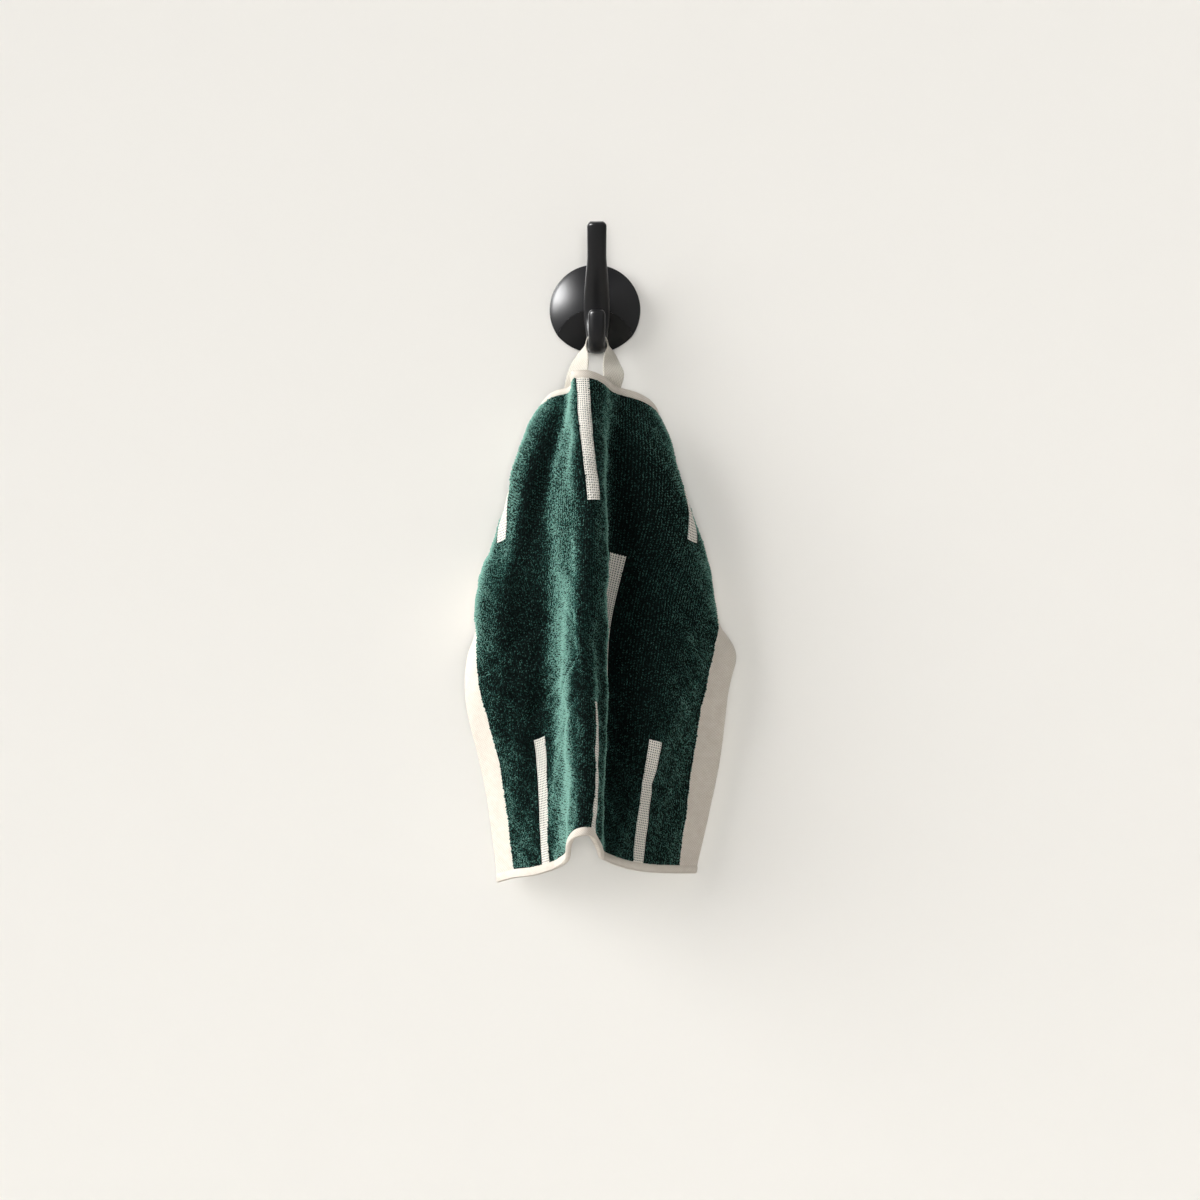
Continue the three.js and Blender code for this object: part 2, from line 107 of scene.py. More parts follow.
SECTIONS = [
    {
        "down": 0,
        "across": [-125, -88, -74, -58, -40, -26, -14, -5, 5, 13, 28, 42, 62, 90, 125],
        "x": [-5, -28, -33, -33, -22, -14, -14, -12, -4, 4, 13, 27, 39, 34, 16],
        "out": [12, 13, 16, 25, 37, 43, 56, 62, 62, 56, 43, 36, 24, 13, 12],
        "z": [-94, -75, -69, -62, -54, -51, -44, -43, -43, -46, -52, -56, -66, -77, -94],
    },
    {
        "down": 45,
        "across": [-125, -92, -79, -66, -46, -33, -14, -5, 5, 13, 24, 42, 66, 92, 125],
        "x": [-31, -45, -50, -50, -37, -25, -15, -9, -1, 5, 8, 29, 53, 50, 36],
        "out": [10, 13, 20, 30, 43, 45, 65, 70, 70, 65, 54, 48, 31, 13, 10],
        "z": [-125, -113, -107, -100, -95, -94, -89, -86, -87, -89, -92, -97, -105, -113, -125],
    },
    {
        "down": 83,
        "across": [-125, -94, -85, -75, -54, -38, -15, -5, 5, 13, 24, 42, 75, 94, 125],
        "x": [-49, -66, -65, -60, -46, -31, -15, -5, 3, 6, 6, 26, 63, 69, 53],
        "out": [9, 20, 27, 34, 46, 46, 71, 76, 74, 69, 54, 49, 34, 20, 9],
        "z": [-166, -156, -155, -153, -144, -138, -129, -127, -127, -128, -131, -136, -153, -156, -166],
    },
    {
        "down": 130,
        "across": [-125, -107, -92, -75, -54, -38, -18, -5, 5, 13, 26, 42, 75, 106, 125],
        "x": [-72, -77, -70, -57, -37, -24, -15, -5, 3, 7, 4, 15, 53, 78, 79],
        "out": [10, 24, 37, 44, 44, 56, 77, 80, 77, 71, 54, 49, 45, 25, 11],
        "z": [-205, -199, -194, -190, -185, -180, -175, -174, -174, -175, -179, -184, -193, -200, -207],
    },
    {
        "down": 151,
        "across": [-125, -108, -92, -75, -56, -39, -19, -5, 5, 12, 26, 42, 75, 108, 125],
        "x": [-82, -76, -66, -52, -33, -22, -15, -5, 4, 7, 3, 11, 51, 77, 92],
        "out": [13, 27, 38, 42, 44, 57, 79, 80, 77, 72, 53, 49, 46, 28, 16],
        "z": [-225, -222, -217, -212, -205, -199, -194, -192, -192, -193, -198, -203, -213, -221, -225],
    },
    {
        "down": 168,
        "across": [-125, -109, -93, -75, -58, -41, -20, -5, 5, 12, 26, 42, 75, 109, 125],
        "x": [-85, -76, -63, -48, -32, -22, -14, -5, 3, 7, 3, 9, 48, 74, 90],
        "out": [17, 30, 38, 41, 44, 58, 80, 80, 76, 72, 54, 50, 48, 30, 18],
        "z": [-243, -241, -236, -231, -224, -216, -209, -207, -207, -209, -214, -219, -230, -238, -240],
    },
    {
        "down": 217,
        "across": [-125, -109, -94, -75, -60, -42, -21, -5, 5, 13, 27, 45, 75, 109, 125],
        "x": [-77, -64, -52, -36, -26, -19, -14, -2, 1, 6, 3, 11, 39, 65, 83],
        "out": [15, 27, 34, 38, 43, 60, 82, 81, 73, 68, 56, 50, 49, 28, 16],
        "z": [-292, -288, -285, -281, -275, -267, -258, -256, -257, -259, -265, -273, -282, -287, -288],
    },
    {
        "down": 258,
        "across": [-125, -109, -94, -75, -60, -42, -20, -5, 5, 13, 28, 45, 75, 109, 125],
        "x": [-69, -57, -47, -33, -25, -18, -13, -2, 1, 5, 3, 10, 32, 59, 75],
        "out": [12, 24, 32, 37, 43, 59, 82, 81, 72, 67, 56, 51, 46, 25, 12],
        "z": [-333, -329, -327, -324, -320, -312, -301, -298, -300, -303, -311, -317, -324, -328, -330],
    },
    {
        "down": 300,
        "across": [-125, -109, -91, -75, -58, -42, -15, -5, 5, 14, 28, 45, 75, 109, 125],
        "x": [-64, -52, -41, -31, -24, -18, -12, -4, 0, 3, 4, 9, 27, 54, 66],
        "out": [10, 22, 32, 39, 44, 60, 82, 81, 73, 68, 56, 52, 42, 22, 9],
        "z": [-377, -373, -371, -368, -365, -359, -343, -342, -347, -354, -358, -361, -367, -370, -371],
    },
]
print("sections down the cloth:", [row["down"] for row in SECTIONS])

# %% [markdown]
# A smooth curve through a few points is a cubic spline. The next helper fits many splines
# at once: every column of `knots` and `values` is a curve of its own, read at its own place.
# Beyond the first and last knot the curve runs on straight.

# %% A helper that reads many splines at once
def spline(knots, values, place):
    """Natural cubic splines through the columns of values, each read at its own place."""
    knots = np.broadcast_to(knots, values.shape)
    gap = np.diff(knots, axis=0)
    slope = np.diff(values, axis=0) / gap
    bend = np.zeros(values.shape)
    share = np.zeros(values.shape)
    for i in range(1, len(knots) - 1):
        pivot = 2 * (gap[i - 1] + gap[i]) - gap[i - 1] * share[i - 1]
        share[i] = gap[i] / pivot
        bend[i] = (6 * (slope[i] - slope[i - 1]) - gap[i - 1] * bend[i - 1]) / pivot
    for i in range(len(knots) - 2, 0, -1):
        bend[i] -= share[i] * bend[i + 1]
    inside = np.clip(place, knots[0], knots[-1])
    span = np.clip((inside > knots[1:]).sum(axis=0), 0, len(knots) - 2)

    def pick(table, at):
        return np.take_along_axis(table, at[None], 0)[0]

    h, rise = pick(gap, span), pick(slope, span)
    bend_left, bend_right = pick(bend, span), pick(bend, span + 1)
    value_left, value_right = pick(values, span), pick(values, span + 1)
    left, right = pick(knots, span + 1) - inside, inside - pick(knots, span)
    value = (bend_left * left**3 + bend_right * right**3) / (6 * h)
    value += (value_left / h - bend_left * h / 6) * left
    value += (value_right / h - bend_right * h / 6) * right
    rate = (bend_right * right**2 - bend_left * left**2) / (2 * h)
    rate += rise - h * (bend_right - bend_left) / 6
    return value + rate * (place - inside)


# %% The draped surface and its normal
NORMAL_REACH = 0.8  # a normal is measured between places this far to each side, in millimetres


def draped(across, down):
    """Where places on the flat cloth hang, in millimetres, as rows of x, y, z."""
    across, down = np.asarray(across, float), np.asarray(down, float)
    levels = np.array([row["down"] for row in SECTIONS], float)[:, None]

    def folds(key):
        table = np.array([row[key] for row in SECTIONS], float)
        lines = [spline(levels, np.repeat(column[:, None], len(down), 1), down) for column in table.T]
        return np.array(lines)

    knots = folds("across")
    x, out, z = (spline(knots, folds(key), across) for key in ("x", "out", "z"))
    return np.stack([x, -out, z], axis=1)


def facing(across, down):
    """The cloth's unit normals, towards the side that shows."""
    along_width = draped(across + NORMAL_REACH, down) - draped(across - NORMAL_REACH, down)
    along_length = draped(across, down + NORMAL_REACH) - draped(across, down - NORMAL_REACH)
    normal = np.cross(along_length, along_width)
    return normal / np.linalg.norm(normal, axis=1, keepdims=True)


middle = draped([0.0], [150.0])[0]
print("the middle of the cloth hangs at, mm:", middle.round(1))

# %% [markdown]
# ## Creases and unevenness
#
# Soft cloth is never as even as a spline. Shallow creases run across the wings, where the
# towel was folded and where its weight pulls it, and the whole cloth is a little lumpy.
# Each crease is a trough or a ridge between two places on the flat cloth, and it wanders a
# little. The first two are long and soft: they lower the pleat's left shoulder and round its
# crown. The lumps are a few long waves laid over each other, the same in every run.

# %% Creases, listed one by one
CREASES = [
    {"start": (-19, 40), "end": (-19, 290), "depth": -2.2, "width": 6.5},
    {"start": (-3, 62), "end": (-3, 290), "depth": 1.3, "width": 6.0},
    {"start": (-112, 168), "end": (-48, 150), "depth": -1.1, "width": 3.5},
    {"start": (-104, 182), "end": (-40, 176), "depth": 0.8, "width": 5.0},
    {"start": (-96, 205), "end": (-46, 190), "depth": -0.8, "width": 3.0},
    {"start": (-70, 120), "end": (-34, 132), "depth": -0.6, "width": 4.0},
    {"start": (-50, 205), "end": (-24, 192), "depth": -0.6, "width": 2.5},
    {"start": (-48, 228), "end": (-22, 214), "depth": -0.6, "width": 2.5},
    {"start": (52, 146), "end": (112, 150), "depth": -1.0, "width": 3.0},
    {"start": (40, 182), "end": (108, 190), "depth": -1.0, "width": 3.5},
    {"start": (36, 212), "end": (74, 222), "depth": 0.8, "width": 4.5},
    {"start": (66, 244), "end": (84, 243), "depth": -1.3, "width": 2.5},
    {"start": (52, 232), "end": (108, 250), "depth": -0.7, "width": 4.0},
    {"start": (30, 96), "end": (78, 116), "depth": -0.6, "width": 4.0},
]
LUMPS = [
    {"height": 0.45, "turns_across": 4.3, "turns_down": 2.6, "shift": 0.4},
    {"height": 0.35, "turns_across": -6.1, "turns_down": 7.7, "shift": 1.9},
    {"height": 0.28, "turns_across": 11.9, "turns_down": 5.2, "shift": 4.1},
    {"height": 0.20, "turns_across": -14.3, "turns_down": 17.1, "shift": 2.7},
]
CREASE_WANDER = {"aside": 1.5, "every": 9, "fade": 8}
EDGE_CALM = {"reach": 12, "least": 0.25}  # near its edges the cloth is stiffer and more even


def unevenness(across, down):
    """How far the cloth stands in front of its smooth surface, in millimetres."""
    lift = np.zeros(len(across))
    for lump in LUMPS:
        phase = lump["turns_across"] * across / TOWEL["width"] + lump["turns_down"] * down / TOWEL["length"]
        lift += lump["height"] * np.sin(2 * math.pi * phase + lump["shift"])
    for crease in CREASES:
        start, end = np.array(crease["start"], float), np.array(crease["end"], float)
        run = end - start
        length = np.linalg.norm(run)
        away = np.stack([across, down], axis=1) - start
        along = away @ run / length
        beside = (away[:, 0] * run[1] - away[:, 1] * run[0]) / length
        beside = beside + CREASE_WANDER["aside"] * np.sin(along / CREASE_WANDER["every"])
        past_end = np.maximum(np.maximum(-along, along - length), 0)
        fade = np.exp(-((past_end / CREASE_WANDER["fade"]) ** 2 + (beside / crease["width"]) ** 2))
        lift += crease["depth"] * fade
    edge = np.minimum(np.minimum(down, TOWEL["length"] - down), TOWEL["width"] / 2 - abs(across))
    return lift * np.clip(edge / EDGE_CALM["reach"], EDGE_CALM["least"], 1)


def hung(across, down, lift):
    """Places on the uneven cloth, lifted off its middle layer by so many millimetres, in metres."""
    across, down = np.asarray(across, float), np.asarray(down, float)
    stand = np.asarray(lift, float) + unevenness(across, down)
    return (draped(across, down) + facing(across, down) * stand[:, None]) * MM


def hung_facing(across, down):
    """Unit normals of the uneven cloth, so that its creases take the light too."""
    flat = np.zeros(len(across))
    right, left = hung(across + NORMAL_REACH, down, flat), hung(across - NORMAL_REACH, down, flat)
    lower, upper = hung(across, down + NORMAL_REACH, flat), hung(across, down - NORMAL_REACH, flat)
    along_width, along_length = right - left, lower - upper
    normal = np.cross(along_length, along_width)
    return normal / np.linalg.norm(normal, axis=1, keepdims=True)


print("creases:", len(CREASES), "waves in the lumps:", len(LUMPS))

# %% [markdown]
# ## The weave's layout
#
# One loom weaves the whole towel. In the field the warp is pulled up into loops. Along both
# sides, and in seven short bars, it stays flat and shows the cream ground. The ends are
# turned over into hems. These rules say which place on the flat cloth is which.

# %% Bars, borders and hems on the flat cloth
BAR = {"width": 9, "length": 83, "pitch": 75, "mid_start": 108.5, "mid_across": 37.5}
TOP_BARS = [(across, 0) for across in (-BAR["pitch"], 0, BAR["pitch"])]
BOTTOM_BARS = [(across, TOWEL["length"] - BAR["length"]) for across, _ in TOP_BARS]
BARS = TOP_BARS + BOTTOM_BARS + [(BAR["mid_across"], BAR["mid_start"])]


def in_bar(across, down, margin=0.0):
    """True where a flat-woven bar is, wider all round by margin."""
    found = np.zeros(np.shape(across), bool)
    for middle_across, start in BARS:
        beside = np.abs(np.asarray(across) - middle_across) < BAR["width"] / 2 + margin
        along = (np.asarray(down) > start - margin) & (np.asarray(down) < start + BAR["length"] + margin)
        found |= beside & along
    return found


def from_end(down):
    return np.minimum(down, TOWEL["length"] - np.asarray(down))


def from_side(across):
    return TOWEL["width"] / 2 - np.abs(across)


def in_hem(down):
    return from_end(down) < TOWEL["hem"]


def in_border(across):
    return from_side(across) < TOWEL["border"]


print("bars:", len(BARS), "each", BAR["width"], "by", BAR["length"], "mm")

# %% [markdown]
# ## A node group for flat weaves
#
# The borders, bars, hems and the tape are all plain weaves: threads that pass over and
# under each other. One node group works that relief out from a UV map in metres, and each
# material places it with its own thread pitch. Sines of the two directions, multiplied,
# give the over and under of a plain weave, and a little noise makes some threads thicker.
# The same over and under also darkens the colour where a thread dips under: painted shade,
# with the noise's random thread tone laid over it.

# %% A small helper for node trees
def add_node(tree, kind, links=(), **settings):
    """Add a node, set its settings and link sockets into its inputs by name or number."""
    node = tree.nodes.new(kind)
    for key, value in settings.items():
        if key.startswith("in_"):
            name = key[3:]
            node.inputs[int(name) if name.isdigit() else name].default_value = value
        else:
            setattr(node, key, value)
    for target, source in dict(links).items():
        tree.links.new(source, node.inputs[target])
    return node


def math_node(tree, operation, first, second=None, clamp=False):
    """A Math node on sockets or plain numbers, giving back its output socket."""
    node = tree.nodes.new("ShaderNodeMath")
    node.operation = operation
    node.use_clamp = clamp
    for i, value in enumerate((first, second)):
        if value is None:
            continue
        if isinstance(value, (int, float)):
            node.inputs[i].default_value = value
        else:
            tree.links.new(value, node.inputs[i])
    return node.outputs[0]


# %% The flat weave group
def make_flat_weave_group():
    """Relief of a plain weave on a UV map in metres, and its Shade: painted shade where threads dip, plus
    random slub tone.
    """
    group = bpy.data.node_groups.new("flat_weave", "ShaderNodeTree")
    sockets = group.interface
    sockets.new_socket("UV", in_out="INPUT", socket_type="NodeSocketVector")
    pitch_in = sockets.new_socket("Pitch", in_out="INPUT", socket_type="NodeSocketFloat")
    pitch_in.default_value = 0.0009
    sockets.new_socket("Height", in_out="OUTPUT", socket_type="NodeSocketFloat")
    sockets.new_socket("Shade", in_out="OUTPUT", socket_type="NodeSocketFloat")
    entry = add_node(group, "NodeGroupInput")
    leave = add_node(group, "NodeGroupOutput")
    split = add_node(group, "ShaderNodeSeparateXYZ", {0: entry.outputs["UV"]})
    turn = math_node(group, "DIVIDE", math.pi, entry.outputs["Pitch"])
    across = math_node(group, "SINE", math_node(group, "MULTIPLY", split.outputs["X"], turn))
    down = math_node(group, "SINE", math_node(group, "MULTIPLY", split.outputs["Y"], turn))
    over_under = math_node(group, "MULTIPLY", across, down)
    slub = add_node(
        group, "ShaderNodeTexNoise", {"Vector": entry.outputs["UV"]}, in_Scale=260.0, in_Detail=3.0
    )
    # Shade: painted shade, darker where a thread dips under, plus the noise's random slub tone.
    shade = math_node(group, "ADD", math_node(group, "MULTIPLY", over_under, 0.5), slub.outputs["Fac"])
    group.links.new(math_node(group, "ADD", over_under, slub.outputs["Fac"]), leave.inputs["Height"])
    group.links.new(shade, leave.inputs["Shade"])
    return group


flat_weave = make_flat_weave_group()
print("node group:", flat_weave.name)

# %% [markdown]
# ## Cotton materials
#
# Cotton is rough and has a fuzz of loose fibres, which catches light where the cloth turns
# away. Principled BSDF has a sheen lobe for that. The cream weaves differ in their thread
# pitch and, on the bars, in the green loop yarn that shows through as rows of dark dots.

# %% Cream weaves
def new_material(name):
    material = bpy.data.materials.new(name)
    material.use_nodes = True
    tree = material.node_tree
    tree.nodes.clear()
    surface = add_node(tree, "ShaderNodeBsdfPrincipled")
    add_node(tree, "ShaderNodeOutputMaterial", {"Surface": surface.outputs[0]})
    return material, tree, surface


def colour_mix(tree, factor, low, high):
    """A colour between low and high; each is a colour socket or three numbers."""
    mix = add_node(tree, "ShaderNodeMix", {0: factor}, data_type="RGBA")
    for name, colour in (("A", low), ("B", high)):
        if isinstance(colour, tuple):
            mix.inputs[name].default_value = (*colour, 1)
        else:
            tree.links.new(colour, mix.inputs[name])
    return mix.outputs["Result"]


def ramp(tree, value, start, end, top=1.0):
    """Map a value from start to end onto 0 to top."""
    node = add_node(tree, "ShaderNodeMapRange", {"Value": value})
    for name, number in (("From Min", start), ("From Max", end), ("To Max", top)):
        node.inputs[name].default_value = number
    return node.outputs["Result"]


DOTS = {"across": 6, "start": 0.7, "sharpness": 3.0, "depth": 2.0, "green": (0.02, 0.05, 0.04)}


def make_cream_weave(name, pitch, light, dark, relief, dots=False):
    """Cream flat weave with the given thread pitch in metres, with or without green dots."""
    material, tree, surface = new_material(name)
    uv = add_node(tree, "ShaderNodeUVMap", uv_map="flat_cloth").outputs["UV"]
    weave = add_node(tree, "ShaderNodeGroup", node_tree=flat_weave)
    tree.links.new(uv, weave.inputs["UV"])
    weave.inputs["Pitch"].default_value = pitch
    # The weave's Shade output paints shade where threads dip, with random slub tone on top.
    colour = colour_mix(tree, weave.outputs["Shade"], dark, light)
    height = weave.outputs["Height"]
    if dots:
        split = add_node(tree, "ShaderNodeSeparateXYZ", {0: uv})
        turn = 2 * math.pi * DOTS["across"] / (BAR["width"] * MM)
        columns = math_node(tree, "COSINE", math_node(tree, "MULTIPLY", split.outputs["X"], turn))
        rows = math_node(tree, "COSINE", math_node(tree, "MULTIPLY", split.outputs["Y"], turn))
        both = math_node(tree, "SUBTRACT", math_node(tree, "SUBTRACT", 0.0, columns), rows)
        above = math_node(tree, "SUBTRACT", both, DOTS["start"])
        dot = math_node(tree, "MULTIPLY", above, DOTS["sharpness"], clamp=True)
        colour = colour_mix(tree, dot, colour, DOTS["green"])
        height = math_node(tree, "SUBTRACT", height, math_node(tree, "MULTIPLY", dot, DOTS["depth"]))
    bump = add_node(tree, "ShaderNodeBump", {"Height": height}, in_Strength=relief, in_Distance=0.0003)
    tree.links.new(colour, surface.inputs["Base Color"])
    tree.links.new(bump.outputs["Normal"], surface.inputs["Normal"])
    surface.inputs["Roughness"].default_value = 0.9
    surface.inputs["Sheen Weight"].default_value = 0.25
    surface.inputs["Sheen Roughness"].default_value = 0.5
    return material


# The dark colours are the ends of the painted shade in thread dips and of the random slub tone.
CREAM_LIGHT = (0.82, 0.765, 0.69)
CREAM_DARK = (0.66, 0.585, 0.495)
BAR_LIGHT = (0.92, 0.88, 0.82)
BAR_DARK = (0.78, 0.73, 0.65)
border_weave = make_cream_weave("border_weave", 0.0009, CREAM_LIGHT, CREAM_DARK, 0.6)
hem_weave = make_cream_weave("hem_weave", 0.0007, CREAM_LIGHT, CREAM_DARK, 0.45)
bar_weave = make_cream_weave("bar_weave", 0.0015, BAR_LIGHT, BAR_DARK, 0.6, dots=True)
print("cream weaves:", border_weave.name, hem_weave.name, bar_weave.name)

# %% [markdown]
# Terry yarn is nearly black green from straight on. Its fuzz stands clear of the yarn, so
# where a loop turns away the light catches it and it goes teal and then pale sage. The sheen
# lobe alone is too faint for so dark a yarn, so a Layer Weight node paints that sheen into the
# base colour: a painted sheen, whose share follows the angle of view, and a baked colour may lose it.

# %% Green terry yarn and its ground
DEEP_GREEN = (0.001, 0.004, 0.0035)
YARN_DARK = (0.0008, 0.003, 0.0028)
YARN_LIGHT = (0.018, 0.046, 0.040)
# The teal and sage colours are painted sheen, mixed into the base colour where the cloth turns from view.
TEAL_PAINTED_SHEEN = (0.05, 0.28, 0.23)
SAGE_PAINTED_SHEEN = (0.29, 0.56, 0.47)
SHEEN_GREEN = (0.50, 0.95, 0.77)
PAINTED_SHEEN = {"starts": 0.10, "full": 0.42, "share": 0.7, "pale_from": 0.2, "pale_at": 0.46}


def make_terry_yarn():
    """Loop yarn: each loop has its own tone, and a painted sheen turns it teal and sage where the cloth turns
    away.
    """
    material, tree, surface = new_material("green_terry_yarn")
    tone = add_node(tree, "ShaderNodeAttribute", attribute_name="tone")
    yarn = colour_mix(tree, tone.outputs["Fac"], YARN_DARK, YARN_LIGHT)
    # Painted sheen: the share of teal and sage grows with the angle between surface and view.
    facing_away = add_node(tree, "ShaderNodeLayerWeight", in_Blend=0.5).outputs["Facing"]
    painted_sheen_share = ramp(tree, facing_away, PAINTED_SHEEN["starts"], PAINTED_SHEEN["full"], PAINTED_SHEEN["share"])
    pale = ramp(tree, facing_away, PAINTED_SHEEN["pale_from"], PAINTED_SHEEN["pale_at"])
    yarn_with_painted_sheen = colour_mix(tree, painted_sheen_share, yarn, colour_mix(tree, pale, TEAL_PAINTED_SHEEN, SAGE_PAINTED_SHEEN))
    tree.links.new(yarn_with_painted_sheen, surface.inputs["Base Color"])
    surface.inputs["Roughness"].default_value = 0.8
    surface.inputs["Specular IOR Level"].default_value = 0.1
    surface.inputs["Sheen Weight"].default_value = 0.15
    surface.inputs["Sheen Roughness"].default_value = 0.3
    surface.inputs["Sheen Tint"].default_value = (*SHEEN_GREEN, 1)
    return material


def make_terry_ground():
    """The woven ground between the loops, nearly black green in their shade."""
    material, tree, surface = new_material("green_terry_ground")
    uv = add_node(tree, "ShaderNodeUVMap", uv_map="flat_cloth").outputs["UV"]
    weave = add_node(tree, "ShaderNodeGroup", node_tree=flat_weave)
    tree.links.new(uv, weave.inputs["UV"])
    weave.inputs["Pitch"].default_value = 0.0015
    # The weave's Shade output paints shade where threads dip, with random slub tone on top.
    shade = colour_mix(tree, weave.outputs["Shade"], DEEP_GREEN, YARN_DARK)
    height = weave.outputs["Height"]
    bump = add_node(tree, "ShaderNodeBump", {"Height": height}, in_Strength=0.8, in_Distance=0.0004)
    tree.links.new(shade, surface.inputs["Base Color"])
    tree.links.new(bump.outputs["Normal"], surface.inputs["Normal"])
    surface.inputs["Roughness"].default_value = 0.95
    surface.inputs["Specular IOR Level"].default_value = 0.1
    surface.inputs["Sheen Weight"].default_value = 0.1
    surface.inputs["Sheen Tint"].default_value = (*SHEEN_GREEN, 1)
    return material


terry_yarn = make_terry_yarn()
terry_ground = make_terry_ground()
print("terry materials:", terry_yarn.name, terry_ground.name)

# %% [markdown]
# ## The ground cloth
#
# The woven ground is one thin sheet. It is easiest to make as the loom does, flat: a grid
# gets its thickness and a rounded rim while it lies flat, its lines drawn closer where a
# seam or a bar begins, and then every point is hung on the drape. The flat place of each
# point stays with it as its UV map, in metres, so each weave follows the threads.

# %% Grid lines that fall on every seam
def lines_between(stops, step):
    """Stops, with even lines between them at about the given step."""
    lines = [stops[0]]
    for start, end in zip(stops[:-1], stops[1:]):
        count = max(1, round((end - start) / step))
        lines.extend(start + (end - start) * i / count for i in range(1, count + 1))
    return lines


GRID_STEP = 2.1
half_width = TOWEL["width"] / 2
bar_middles = (-BAR["pitch"], 0, BAR["mid_across"], BAR["pitch"])
bar_edges = [middle + side * BAR["width"] / 2 for middle in bar_middles for side in (-1, 1)]
inner_edge = half_width - TOWEL["border"]
across_stops = sorted([-half_width, -inner_edge, *bar_edges, inner_edge, half_width])
across_lines = lines_between(across_stops, GRID_STEP)

length, hem = TOWEL["length"], TOWEL["hem"]
hem_lines = [0, 0.5, 1.2, 2.1, 3.1, 4.0, 4.7, 5.2, hem]
bar_ends = [BAR["length"], BAR["mid_start"], BAR["mid_start"] + BAR["length"], length - BAR["length"]]
seam = 0.5
field_stops = [hem, hem + seam, *bar_ends, length - hem - seam, length - hem]
field_lines = lines_between(field_stops, GRID_STEP)
down_lines = hem_lines[:-1] + field_lines + [length - d for d in reversed(hem_lines[:-1])]
print("grid:", len(across_lines), "lines across,", len(down_lines), "down")

# %% A flat slab with a rounded rim
FLAT_HALF = 1.0  # half the slab's thickness while it lies flat, in millimetres


def flat_slab(across_lines, down_lines):
    """A closed flat slab whose grid has these lines: x is across, y is down, z is the side."""
    bm = bmesh.new()
    bmesh.ops.create_grid(bm, x_segments=len(across_lines) - 1, y_segments=len(down_lines) - 1, size=0.5)
    for vert in bm.verts:
        column = round((vert.co.x + 0.5) * (len(across_lines) - 1))
        row = round((vert.co.y + 0.5) * (len(down_lines) - 1))
        vert.co = (across_lines[column], down_lines[row], FLAT_HALF)
    bmesh.ops.solidify(bm, geom=bm.faces[:], thickness=2 * FLAT_HALF)
    low = min(v.co.z for v in bm.verts)
    for vert in bm.verts:
        vert.co.z += -FLAT_HALF - low
    rim = [e for e in bm.edges if e.is_manifold and abs(e.calc_face_angle(0)) > 1]
    bmesh.ops.bevel(
        bm, geom=rim, offset=0.85 * FLAT_HALF, segments=3, affect="EDGES", profile=0.5, material=-1
    )
    return bm


def flat_places(bm):
    """The flat places of a bmesh's points, as three arrays."""
    co = np.array([v.co[:] for v in bm.verts])
    return co[:, 0], co[:, 1], co[:, 2]


def keep_flat_uv(bm):
    """Store each point's flat place as the UV map flat_cloth, in metres."""
    layer = bm.loops.layers.uv.new("flat_cloth")
    for face in bm.faces:
        for loop in face.loops:
            loop[layer].uv = (loop.vert.co.x * MM, loop.vert.co.y * MM)


def place(bm, positions):
    for vert, position in zip(bm.verts, positions):
        vert.co = position


cloth = flat_slab(across_lines, down_lines)
keep_flat_uv(cloth)
print("flat slab:", len(cloth.faces), "faces, closed:", all(e.is_manifold for e in cloth.edges))

# %% [markdown]
# The rolled hem is a soft tube with a line of stitches pressed into its inner edge, so its
# thickness follows half an ellipse. The borders are thinner than the pile, and the ground
# under the pile thinner still, because the loops add the rest.

# %% Thickness of the sheet, place by place
HALF_THICK = {"field": 0.7, "border": 0.9, "bar": 1.05, "hem_core": 0.75, "hem_swell": 1.05}
HEM_ROLL = {"middle": 2.5, "half": 2.9}
ON_SEAM = 0.05  # a point on a seam belongs to the thicker side


def half_thickness(across, down):
    """Half the sheet's thickness, in millimetres."""
    half = np.full(len(across), HALF_THICK["field"])
    half[in_bar(across, down, ON_SEAM)] = HALF_THICK["bar"]
    half[from_side(across) < TOWEL["border"] + ON_SEAM] = HALF_THICK["border"]
    into_hem = from_end(down)
    arc = np.sqrt(np.clip(1 - ((into_hem - HEM_ROLL["middle"]) / HEM_ROLL["half"]) ** 2, 0, 1))
    hem_half = HALF_THICK["hem_core"] + HALF_THICK["hem_swell"] * arc
    return np.where(into_hem < TOWEL["hem"] + ON_SEAM, hem_half, half)


def finish_piece(bm, name, materials):
    """Turn a bmesh into a named piece that rides on the part's one body."""
    mesh = bpy.data.meshes.new(name)
    bm.to_mesh(mesh)
    bm.free()
    for material in materials:
        mesh.materials.append(material)
    piece = bpy.data.objects.new(name, mesh)
    bpy.context.scene.collection.objects.link(piece)
    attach(piece, "root")
    print(f"{name}: {len(mesh.vertices)} points, {sum(len(p.vertices) - 2 for p in mesh.polygons)} triangles")
    return piece


# %% Hang the ground cloth
across, down, side = flat_places(cloth)
for face in cloth.faces:
    middle_across, middle_down, _ = face.calc_center_median()
    if in_hem(middle_down):
        face.material_index = 3
    elif in_border(middle_across):
        face.material_index = 1
    elif in_bar(middle_across, middle_down):
        face.material_index = 2
    face.smooth = True
place(cloth, hung(across, down, side / FLAT_HALF * half_thickness(across, down)))
bmesh.ops.recalc_face_normals(cloth, faces=cloth.faces[:])
weaves = [terry_ground, border_weave, bar_weave, hem_weave]
ground = finish_piece(cloth, "towel_ground", weaves)
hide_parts("towel")

# %% [markdown]
# ## The terry pile
#
# Terry is looped pile: every warp end stands up as a small arch of soft yarn, 1.5 mm from
# the next. A bump map can't give the fringed outline or the dark gaps between loops, so each
# loop is real geometry. One loop is a small circle spun half a turn. Geometry Nodes then
# sets a copy on every point of a seed mesh, turned and tilted at random as washed loops are.

# %% One loop of yarn
LOOP = {"pitch_across": 1.55, "pitch_down": 1.5, "yarn": 0.36, "reach": 0.62, "height": 1.35, "root": 0.5}


